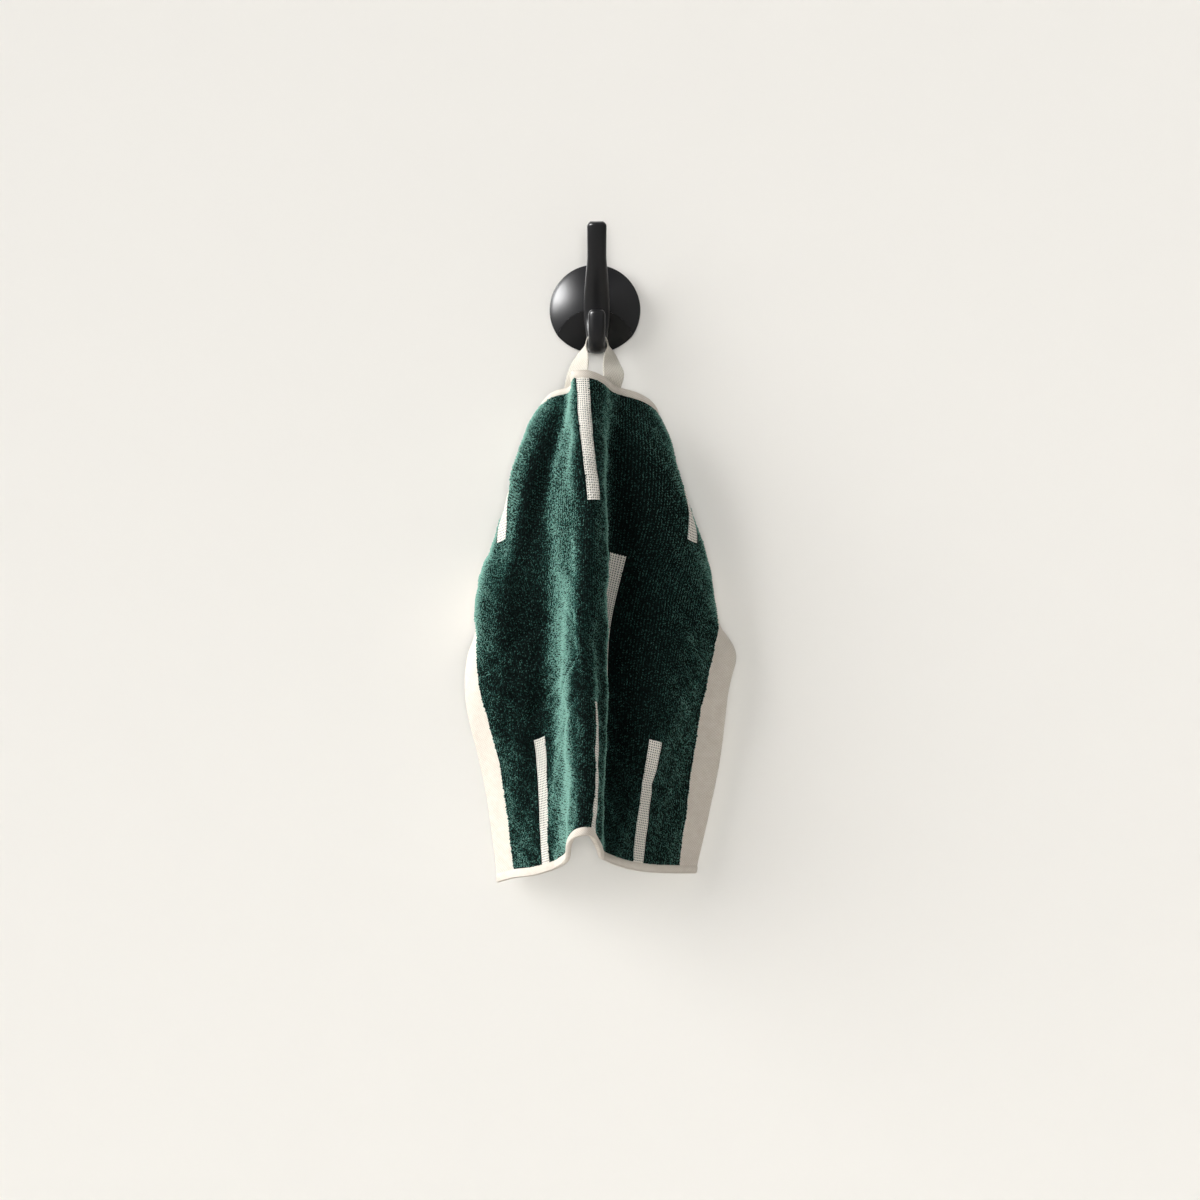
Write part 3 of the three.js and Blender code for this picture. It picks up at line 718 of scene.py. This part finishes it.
def make_loop(name, sides, steps):
    """An arch of yarn that stands on its two feet, in metres."""
    bm = bmesh.new()
    bmesh.ops.create_circle(bm, segments=sides, radius=LOOP["yarn"] * MM)
    bmesh.ops.translate(bm, verts=bm.verts[:], vec=(LOOP["reach"] * MM, 0, 0))
    bmesh.ops.spin(
        bm, geom=bm.verts[:] + bm.edges[:], cent=(0, 0, 0), axis=(0, -1, 0), angle=math.pi, steps=steps
    )
    bmesh.ops.scale(bm, verts=bm.verts[:], vec=(1, 1, LOOP["height"] / (LOOP["reach"] + LOOP["yarn"])))
    bmesh.ops.recalc_face_normals(bm, faces=bm.faces[:])
    for face in bm.faces:
        face.smooth = True
    mesh = bpy.data.meshes.new(name)
    bm.to_mesh(mesh)
    bm.free()
    mesh.materials.append(terry_yarn)
    return bpy.data.objects.new(name, mesh)


front_loop = make_loop("front_loop", sides=3, steps=3)
back_loop = make_loop("back_loop", sides=3, steps=2)
print("faces in a loop:", [len(loop.data.polygons) for loop in (front_loop, back_loop)])

# %% Seeds: one point for each loop
chance = np.random.default_rng(7)
FIELD_GAP = {"border": 0.4, "bar": 0.15, "hem": 0.3}
JITTER = {"across": 0.16, "down": 0.20}
WILD = {"twist": 0.75, "lean": 0.25, "lean_along": 0.28, "lean_beside": 0.30, "size": 0.12}
TONE_SHAPE = (0.4, 1.6)  # most loops are dark, a few are light


def seed_points(pitch_across, pitch_down, first_down, last_down):
    """Staggered rows of places on the flat field, without the bars, as across and down."""
    reach = inner_edge - FIELD_GAP["border"]
    columns = int(2 * reach / pitch_across) + 1
    rows = int((last_down - first_down) / pitch_down) + 1
    bm = bmesh.new()
    bmesh.ops.create_grid(bm, x_segments=columns - 1, y_segments=rows - 1, size=0.5)
    co = np.array([v.co[:2] for v in bm.verts])
    bm.free()
    across = co[:, 0] * 2 * reach
    down = first_down + (co[:, 1] + 0.5) * (last_down - first_down)
    stagger = np.round((co[:, 0] + 0.5) * (columns - 1)) % 2
    down = down + (stagger - 0.5) * pitch_down / 2
    across = across + chance.normal(0, JITTER["across"], len(across))
    down = down + chance.normal(0, JITTER["down"], len(down))
    keep = ~in_bar(across, down, FIELD_GAP["bar"]) & (from_end(down) > hem + FIELD_GAP["hem"])
    return across[keep], down[keep]


def seed_object(name, across, down, side):
    """A mesh of points on the hung cloth, with the direction and size of each loop stored on them."""
    count = len(across)
    normal = facing(across, down) * side
    along = draped(across, down + 0.5) - draped(across, down - 0.5)
    along /= np.linalg.norm(along, axis=1, keepdims=True)
    beside = np.cross(normal, along)
    twist = chance.normal(0, WILD["twist"], count)
    lay = along * np.cos(twist)[:, None] + beside * np.sin(twist)[:, None]
    lean_along = WILD["lean"] + chance.normal(0, WILD["lean_along"], count)
    lean_beside = chance.normal(0, WILD["lean_beside"], count)
    stand = normal + along * lean_along[:, None] + beside * lean_beside[:, None]
    stand /= np.linalg.norm(stand, axis=1, keepdims=True)
    mesh = bpy.data.meshes.new(name)
    mesh.from_pydata(hung(across, down, np.full(count, side * LOOP["root"])), [], [])
    for key, rows in (("stand", stand), ("lay", lay)):
        layer = mesh.attributes.new(key, "FLOAT_VECTOR", "POINT")
        layer.data.foreach_set("vector", rows.astype(np.float32).ravel())
    size = chance.normal(1.0, WILD["size"], count).clip(0.7, 1.35)
    tone = chance.beta(*TONE_SHAPE, count)
    for key, numbers in (("size", size), ("seed_tone", tone)):
        layer = mesh.attributes.new(key, "FLOAT", "POINT")
        layer.data.foreach_set("value", numbers.astype(np.float32))
    piece = bpy.data.objects.new(name, mesh)
    bpy.context.scene.collection.objects.link(piece)
    return piece


# %% A node tree that sets a loop on every seed
def make_planting_tree(loop_object):
    """Instances of one loop on the points, turned by their stored directions and realized."""
    tree = bpy.data.node_groups.new("plant_" + loop_object.name, "GeometryNodeTree")
    tree.interface.new_socket("Geometry", in_out="INPUT", socket_type="NodeSocketGeometry")
    tree.interface.new_socket("Geometry", in_out="OUTPUT", socket_type="NodeSocketGeometry")
    entry = add_node(tree, "NodeGroupInput")
    leave = add_node(tree, "NodeGroupOutput")

    def named(name, data_type):
        node = add_node(tree, "GeometryNodeInputNamedAttribute", data_type=data_type)
        node.inputs["Name"].default_value = name
        return node.outputs["Attribute"]

    turn = add_node(tree, "FunctionNodeAxesToRotation", primary_axis="Z", secondary_axis="X")
    tree.links.new(named("stand", "FLOAT_VECTOR"), turn.inputs[0])
    tree.links.new(named("lay", "FLOAT_VECTOR"), turn.inputs[1])
    loop_info = add_node(tree, "GeometryNodeObjectInfo")
    loop_info.inputs["Object"].default_value = loop_object
    plant = add_node(tree, "GeometryNodeInstanceOnPoints")
    tree.links.new(entry.outputs[0], plant.inputs["Points"])
    tree.links.new(loop_info.outputs["Geometry"], plant.inputs["Instance"])
    tree.links.new(turn.outputs[0], plant.inputs["Rotation"])
    tree.links.new(named("size", "FLOAT"), plant.inputs["Scale"])
    keep_tone = add_node(tree, "GeometryNodeStoreNamedAttribute", data_type="FLOAT", domain="INSTANCE")
    keep_tone.inputs["Name"].default_value = "tone"
    tree.links.new(plant.outputs[0], keep_tone.inputs["Geometry"])
    tree.links.new(named("seed_tone", "FLOAT"), keep_tone.inputs["Value"])
    real = add_node(tree, "GeometryNodeRealizeInstances")
    tree.links.new(keep_tone.outputs[0], real.inputs[0])
    tree.links.new(real.outputs[0], leave.inputs[0])
    return tree


CLOTH_SHARE = 0.5  # how much of a loop's shading follows the cloth, and the rest its own shape


def lean_normals(mesh, across, down, side, points_each):
    """Turn the pile's shading normals towards the cloth's, because fibres scatter light softly."""
    own = np.empty(3 * len(mesh.vertices), np.float32)
    mesh.vertex_normals.foreach_get("vector", own)
    cloth = np.repeat(hung_facing(across, down) * side, points_each, axis=0)
    blend = CLOTH_SHARE * cloth + (1 - CLOTH_SHARE) * own.reshape(-1, 3)
    blend /= np.linalg.norm(blend, axis=1, keepdims=True)
    mesh.normals_split_custom_set_from_vertices(blend)


def plant_pile(name, across, down, side, loop_object):
    """Loops on one face of the cloth, as one joined mesh."""
    seeds = seed_object(name + "_seeds", across, down, side)
    modifier = seeds.modifiers.new("plant", "NODES")
    modifier.node_group = make_planting_tree(loop_object)
    graph = bpy.context.evaluated_depsgraph_get()
    mesh = bpy.data.meshes.new_from_object(seeds.evaluated_get(graph))
    mesh.name = name
    bpy.data.objects.remove(seeds)
    lean_normals(mesh, across, down, side, len(loop_object.data.vertices))
    pile = bpy.data.objects.new(name, mesh)
    bpy.context.scene.collection.objects.link(pile)
    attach(pile, "root")
    print(f"{name}: {len(across)} loops, {sum(len(p.vertices) - 2 for p in mesh.polygons)} triangles")
    return pile


# %% Plant the pile on both faces
FRONT_BANDS = 3
first, last = hem + 0.6, length - hem - 0.6
for band in range(FRONT_BANDS):
    start = first + (last - first) * band / FRONT_BANDS
    end = first + (last - first) * (band + 1) / FRONT_BANDS - LOOP["pitch_down"]
    end = last if band == FRONT_BANDS - 1 else end
    places = seed_points(LOOP["pitch_across"], LOOP["pitch_down"], start, end)
    plant_pile(f"terry_front_{band + 1}", *places, 1, front_loop)
BACK_COARSER = 1.3
places = seed_points(LOOP["pitch_across"] * BACK_COARSER, LOOP["pitch_down"] * BACK_COARSER, first, last)
plant_pile("terry_back", *places, -1, back_loop)

# %% [markdown]
# ## The hanging tape
#
# A woven tape is sewn behind the top hem with both its ends and lies over the hook. A tape
# is stiff across its width, so it is not left to a simulation: the CAD model lists its two
# edges station by station, and the same curve through them carries a flat slab again.

# %% Stations of the tape
TAPE = {"width": 13, "thick": 1.0, "clearance": 0.75, "sewn_depth": 9, "left": -33.5, "right": 27}
HEM_THICK = 3.6
TAPE_STATIONS = [
    {"near": (-5.0, 43.0, -43.0), "far": (-18.2, 36.5, -44.5), "cup": 0},
    {"near": (-4.2, 42.0, -36.5), "far": (-15.2, 33.5, -37.0), "cup": 0},
    {"near": (-4.5, 42.5, -30.5), "far": (-10.6, 31.4, -30.0), "cup": 0},
    {"near": (-5.8, 42.7, -25.6), "far": (-6.6, 31.4, -25.4), "cup": 0.3},
    {"near": (-4.0, 42.4, -19.7), "far": (-4.0, 31.6, -19.7), "cup": 1.5},
    {"near": (1.2, 42.4, -18.6), "far": (1.2, 31.6, -18.6), "cup": 2.6},
    {"near": (6.4, 42.4, -19.7), "far": (6.4, 31.6, -19.7), "cup": 1.5},
    {"near": (8.2, 42.7, -25.6), "far": (9.0, 31.4, -25.4), "cup": 0.3},
    {"near": (6.4, 42.5, -30.5), "far": (12.8, 31.6, -30.0), "cup": 0},
    {"near": (5.2, 42.0, -36.5), "far": (16.2, 34.0, -36.8), "cup": 0},
    {"near": (5.2, 44.0, -43.0), "far": (19.0, 37.5, -44.0), "cup": 0},
]


def sewn_end(middle_across, near_sign):
    """Three stations where an end of the tape lies behind the hem, from the end upwards."""
    behind = HEM_THICK / 2 + TAPE["clearance"] + TAPE["thick"] / 2
    downs = np.array([TAPE["sewn_depth"], TAPE["sewn_depth"] / 2, 0.0])

    def line(across):
        places = np.full(3, float(across))
        return draped(places, downs) - facing(places, downs) * behind

    half = near_sign * TAPE["width"] / 2
    return np.stack([line(middle_across + half), line(middle_across), line(middle_across - half)], axis=1)


free_tape = []
for station in TAPE_STATIONS:
    near, far = (np.array((x, -out, z)) for x, out, z in (station["near"], station["far"]))
    free_tape.append([near, (near + far) / 2 - (0, 0, station["cup"]), far])
tape_lines = np.concatenate(
    [sewn_end(TAPE["left"], 1), np.array(free_tape), sewn_end(TAPE["right"], -1)[::-1]]
)
print("tape stations:", len(tape_lines))

# %% A smooth curve through the stations
def centripetal(points, t):
    """A centripetal Catmull-Rom curve through points, at t from 0 to 1."""
    ends = (2 * points[0] - points[1], 2 * points[-1] - points[-2])
    padded = np.vstack([ends[0], points, ends[1]])
    place = min(t * (len(points) - 1), len(points) - 1 - 1e-9)
    i = int(place)
    p0, p1, p2, p3 = padded[i : i + 4]
    k0, k1, k2 = (max(np.linalg.norm(b - a) ** 0.5, 1e-4) for a, b in ((p0, p1), (p1, p2), (p2, p3)))
    tangent_1 = ((p1 - p0) / k0 - (p2 - p0) / (k0 + k1) + (p2 - p1) / k1) * k1
    tangent_2 = ((p2 - p1) / k1 - (p3 - p1) / (k1 + k2) + (p3 - p2) / k2) * k1
    w = place - i
    c2 = -3 * p1 + 3 * p2 - 2 * tangent_1 - tangent_2
    c3 = 2 * p1 - 2 * p2 + tangent_1 + tangent_2
    return p1 + tangent_1 * w + c2 * w**2 + c3 * w**3


def tape_point(along, across):
    """A point of the tape's middle layer, along from 0 to 1 and across from 0 to 1."""
    near, middle, far = (centripetal(tape_lines[:, i], along) for i in range(3))
    return (
        near * 2 * (across - 0.5) * (across - 1) - middle * 4 * across * (across - 1)
        + far * 2 * across * (across - 0.5)
    )


tape_run = np.array([tape_point(t, 0.5) for t in np.linspace(0, 1, 200)])
TAPE_LENGTH = float(np.linalg.norm(np.diff(tape_run, axis=0), axis=1).sum())
print("the tape is", round(TAPE_LENGTH, 1), "mm long")

# %% Weave and hang the tape
RIB = {"pitch": 1.6, "height": 0.05}
SELVEDGE = {"share": 0.09, "height": 0.10}
WEAVE_SUNK = 0.08  # the middle of the weave lies this far below the tape's full thickness
# The dark colour is the end of the painted shade in thread dips and of the random slub tone.
TAPE_LIGHT = (0.76, 0.72, 0.64)
TAPE_DARK = (0.58, 0.54, 0.46)
tape_weave = make_cream_weave("tape_weave", 0.0008, TAPE_LIGHT, TAPE_DARK, 0.6)
tape_bm = flat_slab(
    lines_between([0, TAPE["width"]], 1.0), lines_between([0, TAPE_LENGTH], 0.8)
)
keep_flat_uv(tape_bm)
for vert in tape_bm.verts:
    along, across, side = vert.co.y / TAPE_LENGTH, vert.co.x / TAPE["width"], vert.co.z / FLAT_HALF
    step = 0.004
    u, v = min(max(along, step), 1 - step), min(max(across, 0.02), 0.98)
    run = tape_point(u + step, v) - tape_point(u - step, v)
    breadth = tape_point(u, v + 0.02) - tape_point(u, v - 0.02)
    normal = np.cross(run, breadth)
    normal /= np.linalg.norm(normal)
    rib = RIB["height"] * math.cos(2 * math.pi * along * TAPE_LENGTH / RIB["pitch"])
    selvedge = SELVEDGE["height"] if min(across, 1 - across) < SELVEDGE["share"] else 0.0
    lift = side * ((TAPE["thick"] + selvedge + rib) / 2 - WEAVE_SUNK)
    vert.co = Vector((tape_point(min(max(along, 0), 1), across) + normal * lift) * MM)
bmesh.ops.recalc_face_normals(tape_bm, faces=tape_bm.faces[:])
for face in tape_bm.faces:
    face.smooth = True
tape = finish_piece(tape_bm, "tape_loop", [tape_weave])
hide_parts("hanging_tape")

# %% [markdown]
# ## The black casting
#
# The hook is cast in one go: a domed round plate with a flat cut into its lower front, a
# short neck, and an arm with a long upper prong and a short lower one. It is coated satin
# black. The plate and the neck are turned shapes, so each is a profile spun round, and the
# arm is a chain of rings along its stations, bridged.

# %% Satin black coating
def make_satin_black():
    """Smooth dark coating with a slightly uneven gloss and a fine orange-peel relief."""
    material, tree, surface = new_material("satin_black")
    where = add_node(tree, "ShaderNodeTexCoord").outputs["Object"]
    patches = add_node(tree, "ShaderNodeTexNoise", {"Vector": where}, in_Scale=60.0, in_Detail=4.0)
    gloss = add_node(tree, "ShaderNodeMapRange", {"Value": patches.outputs["Fac"]})
    for name, roughness in (("To Min", 0.26), ("To Max", 0.34)):
        gloss.inputs[name].default_value = roughness
    peel = add_node(tree, "ShaderNodeTexNoise", {"Vector": where}, in_Scale=1500.0, in_Detail=2.0)
    height = peel.outputs["Fac"]
    bump = add_node(tree, "ShaderNodeBump", {"Height": height}, in_Strength=0.12, in_Distance=0.0002)
    tree.links.new(gloss.outputs["Result"], surface.inputs["Roughness"])
    tree.links.new(bump.outputs["Normal"], surface.inputs["Normal"])
    surface.inputs["Base Color"].default_value = (0.004, 0.004, 0.0045, 1)
    surface.inputs["Specular IOR Level"].default_value = 0.3
    return material


satin_black = make_satin_black()
print("coating:", satin_black.name)

# %% The wall plate
PLATE = {"radius": 29.9, "wall_radius": 27.3, "rim": 7, "dome": 6.5, "edge": 0.8, "cut_slope": 0.385}


def spun(profile, steps):
    """Spin a profile of radius and out, in millimetres, round the line that stands out from the wall."""
    bm = bmesh.new()
    verts = [bm.verts.new((radius * MM, -out * MM, 0)) for radius, out in profile]
    edges = [bm.edges.new(pair) for pair in zip(verts[:-1], verts[1:])]
    bmesh.ops.spin(
        bm, geom=verts + edges, cent=(0, 0, 0), axis=(0, 1, 0), angle=2 * math.pi, steps=steps, use_merge=True
    )
    bmesh.ops.remove_doubles(bm, verts=bm.verts[:], dist=1e-6)
    bmesh.ops.recalc_face_normals(bm, faces=bm.faces[:])
    return bm


def dome_out(radius):
    return PLATE["rim"] + PLATE["dome"] * (1 - (radius / PLATE["radius"]) ** 2)


inner = PLATE["radius"] - PLATE["edge"]
corner_out = dome_out(inner) - PLATE["edge"]
plate_profile = [(0, 0), (PLATE["wall_radius"] - PLATE["edge"], 0), (PLATE["wall_radius"], PLATE["edge"])]
for i in range(7):
    angle = math.pi / 2 * i / 6
    plate_profile.append(
        (inner + PLATE["edge"] * math.cos(angle), corner_out + PLATE["edge"] * math.sin(angle))
    )
plate_profile += [(inner * (1 - i / 16), dome_out(inner * (1 - i / 16))) for i in range(1, 17)]
plate = spun(plate_profile, 128)
print("plate before the cut:", len(plate.faces), "faces")

# %% Cut the plate's lower front flat
cut_point = Vector((0, -(PLATE["rim"] + PLATE["dome"]) * MM, 0))
cut_normal = Vector((0, -1, -PLATE["cut_slope"])).normalized()
bmesh.ops.bisect_plane(
    plate, geom=plate.verts[:] + plate.edges[:] + plate.faces[:], plane_co=cut_point, plane_no=cut_normal,
    clear_outer=True, dist=1e-7,
)
bmesh.ops.edgeloop_fill(plate, edges=[e for e in plate.edges if e.is_boundary])
bmesh.ops.recalc_face_normals(plate, faces=plate.faces[:])
CUT_ROUND = 0.25
flat_faces = {face for face in plate.faces if len(face.verts) > 8}
sharp = [
    e for e in plate.edges
    if e.is_manifold and e.calc_face_angle(0) > math.radians(10) and not flat_faces.isdisjoint(e.link_faces)
]
bmesh.ops.bevel(
    plate, geom=sharp, offset=CUT_ROUND * MM, segments=3, affect="EDGES", profile=0.5, material=-1
)
for face in plate.faces:
    face.smooth = True
hook_plate = finish_piece(plate, "hook_plate", [satin_black])
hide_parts("wall_hook")

# %% The neck
NECK = {"root_radius": 9, "arm_radius": 6.4, "root_out": 10, "arm_out": 22, "sunk": 2, "z": -1}
ARM_SIDE = 1.2  # the arm and its neck stand this far to the right of the plate's middle
flare = []
for i in range(13):
    s = i / 12
    radius = NECK["arm_radius"] + (NECK["root_radius"] - NECK["arm_radius"]) * (1 - s) ** 2
    flare.append((radius, NECK["root_out"] + (NECK["arm_out"] - NECK["root_out"]) * s))
start_out = NECK["root_out"] - NECK["sunk"]
neck = spun([(0, start_out), (NECK["root_radius"], start_out), *flare, (0, NECK["arm_out"])], 64)
bmesh.ops.translate(neck, verts=neck.verts[:], vec=(ARM_SIDE * MM, 0, NECK["z"] * MM))
for face in neck.faces:
    face.smooth = True
hook_neck = finish_piece(neck, "hook_neck", [satin_black])
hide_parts("wall_hook")

# %% [markdown]
# The arm's section is between an ellipse and a rectangle, wider than it is thick, and it
# changes along the arm. Each ring starts as a circle, is squared off with a power of its
# sine and cosine, and is set across the arm's line. Both ends are rounded over.

# %% Stations of the arm
ARM = [
    {"out": 53, "z": 54, "width": 12.9, "thick": 6.8},
    {"out": 51, "z": 47, "width": 12.7, "thick": 7.0},
    {"out": 44.5, "z": 33, "width": 12.5, "thick": 7.4},
    {"out": 36, "z": 20, "width": 14.6, "thick": 8.0},
    {"out": 28, "z": 9, "width": 16.4, "thick": 8.5},
    {"out": 23.5, "z": -1, "width": 17.0, "thick": 8.6},
    {"out": 22.5, "z": -10, "width": 16.2, "thick": 8.5},
    {"out": 24.5, "z": -18, "width": 14.2, "thick": 8.4},
    {"out": 29.5, "z": -24.3, "width": 12.6, "thick": 8.4},
    {"out": 37, "z": -26.6, "width": 11.6, "thick": 8.4},
    {"out": 44.5, "z": -24.3, "width": 11.2, "thick": 7.8},
    {"out": 49, "z": -18, "width": 11.0, "thick": 7.2},
    {"out": 51, "z": -10, "width": 11.0, "thick": 6.6},
    {"out": 51.8, "z": -3, "width": 11.0, "thick": 6.2},
]
ARM_ROUNDNESS = 2.4
ARM_END = {"width_round": 4.2, "thick_round": 1.6, "blunt": 0.9}
arm_line = np.array([(ARM_SIDE, -s["out"], s["z"]) for s in ARM], float)
arm_size = np.array([(s["width"], s["thick"], 0) for s in ARM], float)
fine = [centripetal(arm_line, t) for t in np.linspace(0, 1, 2001)]
arm_travel = np.concatenate([[0], np.cumsum(np.linalg.norm(np.diff(fine, axis=0), axis=1))])
ARM_LENGTH = float(arm_travel[-1])
print("the arm is", round(ARM_LENGTH, 1), "mm long")

# %% Rings along the arm, bridged
def rounding(distance, reach):
    share = min(1, (distance + 0.02) / reach)
    return math.sqrt(1 - (1 - share) ** 2)


def add_ring(bm, distance, sides):
    """A squared-off circle across the arm at this distance from its upper end."""
    t = float(np.interp(distance, arm_travel, np.linspace(0, 1, 2001)))
    centre = Vector(centripetal(arm_line, t))
    after, before = centripetal(arm_line, min(t + 1e-3, 1)), centripetal(arm_line, max(t - 1e-3, 0))
    ahead = Vector(after - before).normalized()
    forward = Vector((1, 0, 0)).cross(ahead)
    width, thick, _ = centripetal(arm_size, t)
    to_end = min(distance, ARM_LENGTH - distance)
    half_width = width / 2 * rounding(to_end + ARM_END["blunt"], ARM_END["width_round"])
    half_thick = thick / 2 * rounding(to_end, ARM_END["thick_round"])
    ring = bmesh.ops.create_circle(bm, segments=sides, radius=1.0)["verts"]
    power = 2 / ARM_ROUNDNESS
    for vert in ring:
        c, s = vert.co.x, vert.co.y
        beside = half_width * math.copysign(abs(c) ** power, c)
        front = half_thick * math.copysign(abs(s) ** power, s)
        vert.co = (centre + Vector((1, 0, 0)) * beside + forward * front) * MM
    return ring


def edges_of(ring):
    members = set(ring)
    return [e for e in arm.edges if e.verts[0] in members and e.verts[1] in members]


RING_STEP = 1.2
arm = bmesh.new()
end_steps = [share * ARM_END["width_round"] for share in (0, 0.03, 0.09, 0.19, 0.3, 0.45, 0.67, 1)]
end_reach = ARM_END["width_round"] + RING_STEP
body_steps = lines_between([end_reach, ARM_LENGTH - end_reach], RING_STEP)
ring_places = end_steps + body_steps + [ARM_LENGTH - d for d in reversed(end_steps)]
rings = [add_ring(arm, distance, 48) for distance in ring_places]
ring_edges = [edges_of(ring) for ring in rings]
for first_ring, next_ring in zip(ring_edges[:-1], ring_edges[1:]):
    bmesh.ops.bridge_loops(arm, edges=first_ring + next_ring)
for end_ring in (ring_edges[0], ring_edges[-1]):
    bmesh.ops.edgeloop_fill(arm, edges=end_ring)
bmesh.ops.recalc_face_normals(arm, faces=arm.faces[:])
for face in arm.faces:
    face.smooth = True
hook_arm = finish_piece(arm, "hook_arm", [satin_black])
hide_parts("wall_hook")

# %% [markdown]
# ## Wall, floor and light
#
# The photograph has an even pale wall and soft light from the left, a little above. On dark
# cloth that light must stay directed, or the folds go grey, while the wall stays bright all
# over. Light linking does both: each light names the pieces that it reaches, and a narrow
# one gives the black hook its highlights. The wall shows only from its front, so that the back
# of the towel can be looked at too, and a light behind the wall reaches the part alone.

# %% Wall and floor
WALL_COLOUR = (0.84, 0.82, 0.78)


def make_paint(name):
    """Matt paint without any gloss."""
    material, tree, surface = new_material(name)
    surface.inputs["Base Color"].default_value = (*WALL_COLOUR, 1)
    surface.inputs["Roughness"].default_value = 1.0
    surface.inputs["Specular IOR Level"].default_value = 0.0
    return material, tree, surface


def make_wall_paint():
    """Paint on the front of the wall; its back lets every ray through."""
    material, tree, surface = make_paint("wall_paint")
    clear = add_node(tree, "ShaderNodeBsdfTransparent")
    back = add_node(tree, "ShaderNodeNewGeometry").outputs["Backfacing"]
    mix = add_node(tree, "ShaderNodeMixShader", {0: back, 1: surface.outputs[0], 2: clear.outputs[0]})
    output = next(n for n in tree.nodes if n.type == "OUTPUT_MATERIAL")
    tree.links.new(mix.outputs[0], output.inputs["Surface"])
    return material


def stage_plane(name, size, matrix, material):
    bm = bmesh.new()
    bmesh.ops.create_grid(bm, x_segments=1, y_segments=1, size=size / 2)
    bmesh.ops.transform(bm, matrix=matrix, verts=bm.verts[:])
    mesh = bpy.data.meshes.new(name)
    bm.to_mesh(mesh)
    bm.free()
    mesh.materials.append(material)
    plane = bpy.data.objects.new(name, mesh)
    bpy.context.scene.collection.objects.link(plane)
    return plane


FLOOR_HEIGHT = -1.2
WALL_BEHIND = 0.0004
WALL_SIZE, FLOOR_SIZE = 4.0, 8.0
upright = Matrix.Rotation(math.radians(90), 4, "X")
wall_place = Matrix.Translation((0, WALL_BEHIND, WALL_SIZE / 2 + FLOOR_HEIGHT)) @ upright
wall = stage_plane("wall", WALL_SIZE, wall_place, make_wall_paint())
floor_place = Matrix.Translation((0, 0, FLOOR_HEIGHT))
floor = stage_plane("floor", FLOOR_SIZE, floor_place, make_paint("floor_paint")[0])
print("stage:", wall.name, floor.name)

# %% What each light may reach
part_pieces = bpy.data.collections.new("part_pieces")
stage_pieces = bpy.data.collections.new("stage_pieces")
for thing in bpy.context.scene.objects:
    if thing.type == "MESH":
        reached = stage_pieces if thing in (wall, floor) else part_pieces
        reached.objects.link(thing)
hook_pieces = bpy.data.collections.new("hook_pieces")
for thing in (hook_plate, hook_neck, hook_arm):
    hook_pieces.objects.link(thing)

# %% Suns and room light
LIGHTS = [
    {"name": "window", "left": 64, "above": 24, "spread": 45, "strength": 2.65, "on": None},
    {"name": "room_front", "left": 50, "above": 18, "spread": 30, "strength": 1.6, "on": part_pieces},
    {"name": "room_right", "left": -38, "above": 14, "spread": 50, "strength": 0.4, "on": part_pieces},
    {"name": "hook_gleam", "left": 46, "above": 20, "spread": 24, "strength": 8.0, "on": hook_pieces},
    {"name": "wall_wash", "left": 0, "above": 0, "spread": 20, "strength": 1.34, "on": stage_pieces},
    {"name": "behind", "left": 150, "above": 25, "spread": 60, "strength": 2.0, "on": part_pieces},
]
ROOM_STRENGTH = 0.15
ROOM_COLOUR = (1.0, 0.985, 0.965)


def add_sun(name, left, above, spread, strength, on):
    """A wide sun from so many degrees to the left of straight on and above level."""
    data = bpy.data.lights.new(name, "SUN")
    data.energy = strength
    data.angle = math.radians(spread)
    sun = bpy.data.objects.new(name, data)
    turn, rise = math.radians(left), math.radians(above)
    towards = Vector((-math.sin(turn) * math.cos(rise), -math.cos(turn) * math.cos(rise), math.sin(rise)))
    sun.rotation_euler = towards.to_track_quat("Z", "Y").to_euler()
    bpy.context.scene.collection.objects.link(sun)
    if on is not None:
        sun.light_linking.receiver_collection = on
        sun.light_linking.blocker_collection = part_pieces
    print(name, "comes from", [round(v, 2) for v in towards])


for light in LIGHTS:
    add_sun(**light)
world = bpy.data.worlds.new("room")
world.use_nodes = True
background = world.node_tree.nodes["Background"]
background.inputs["Color"].default_value = (*ROOM_COLOUR, 1)
background.inputs["Strength"].default_value = ROOM_STRENGTH
bpy.context.scene.world = world
bpy.context.scene.view_settings.view_transform = "Standard"
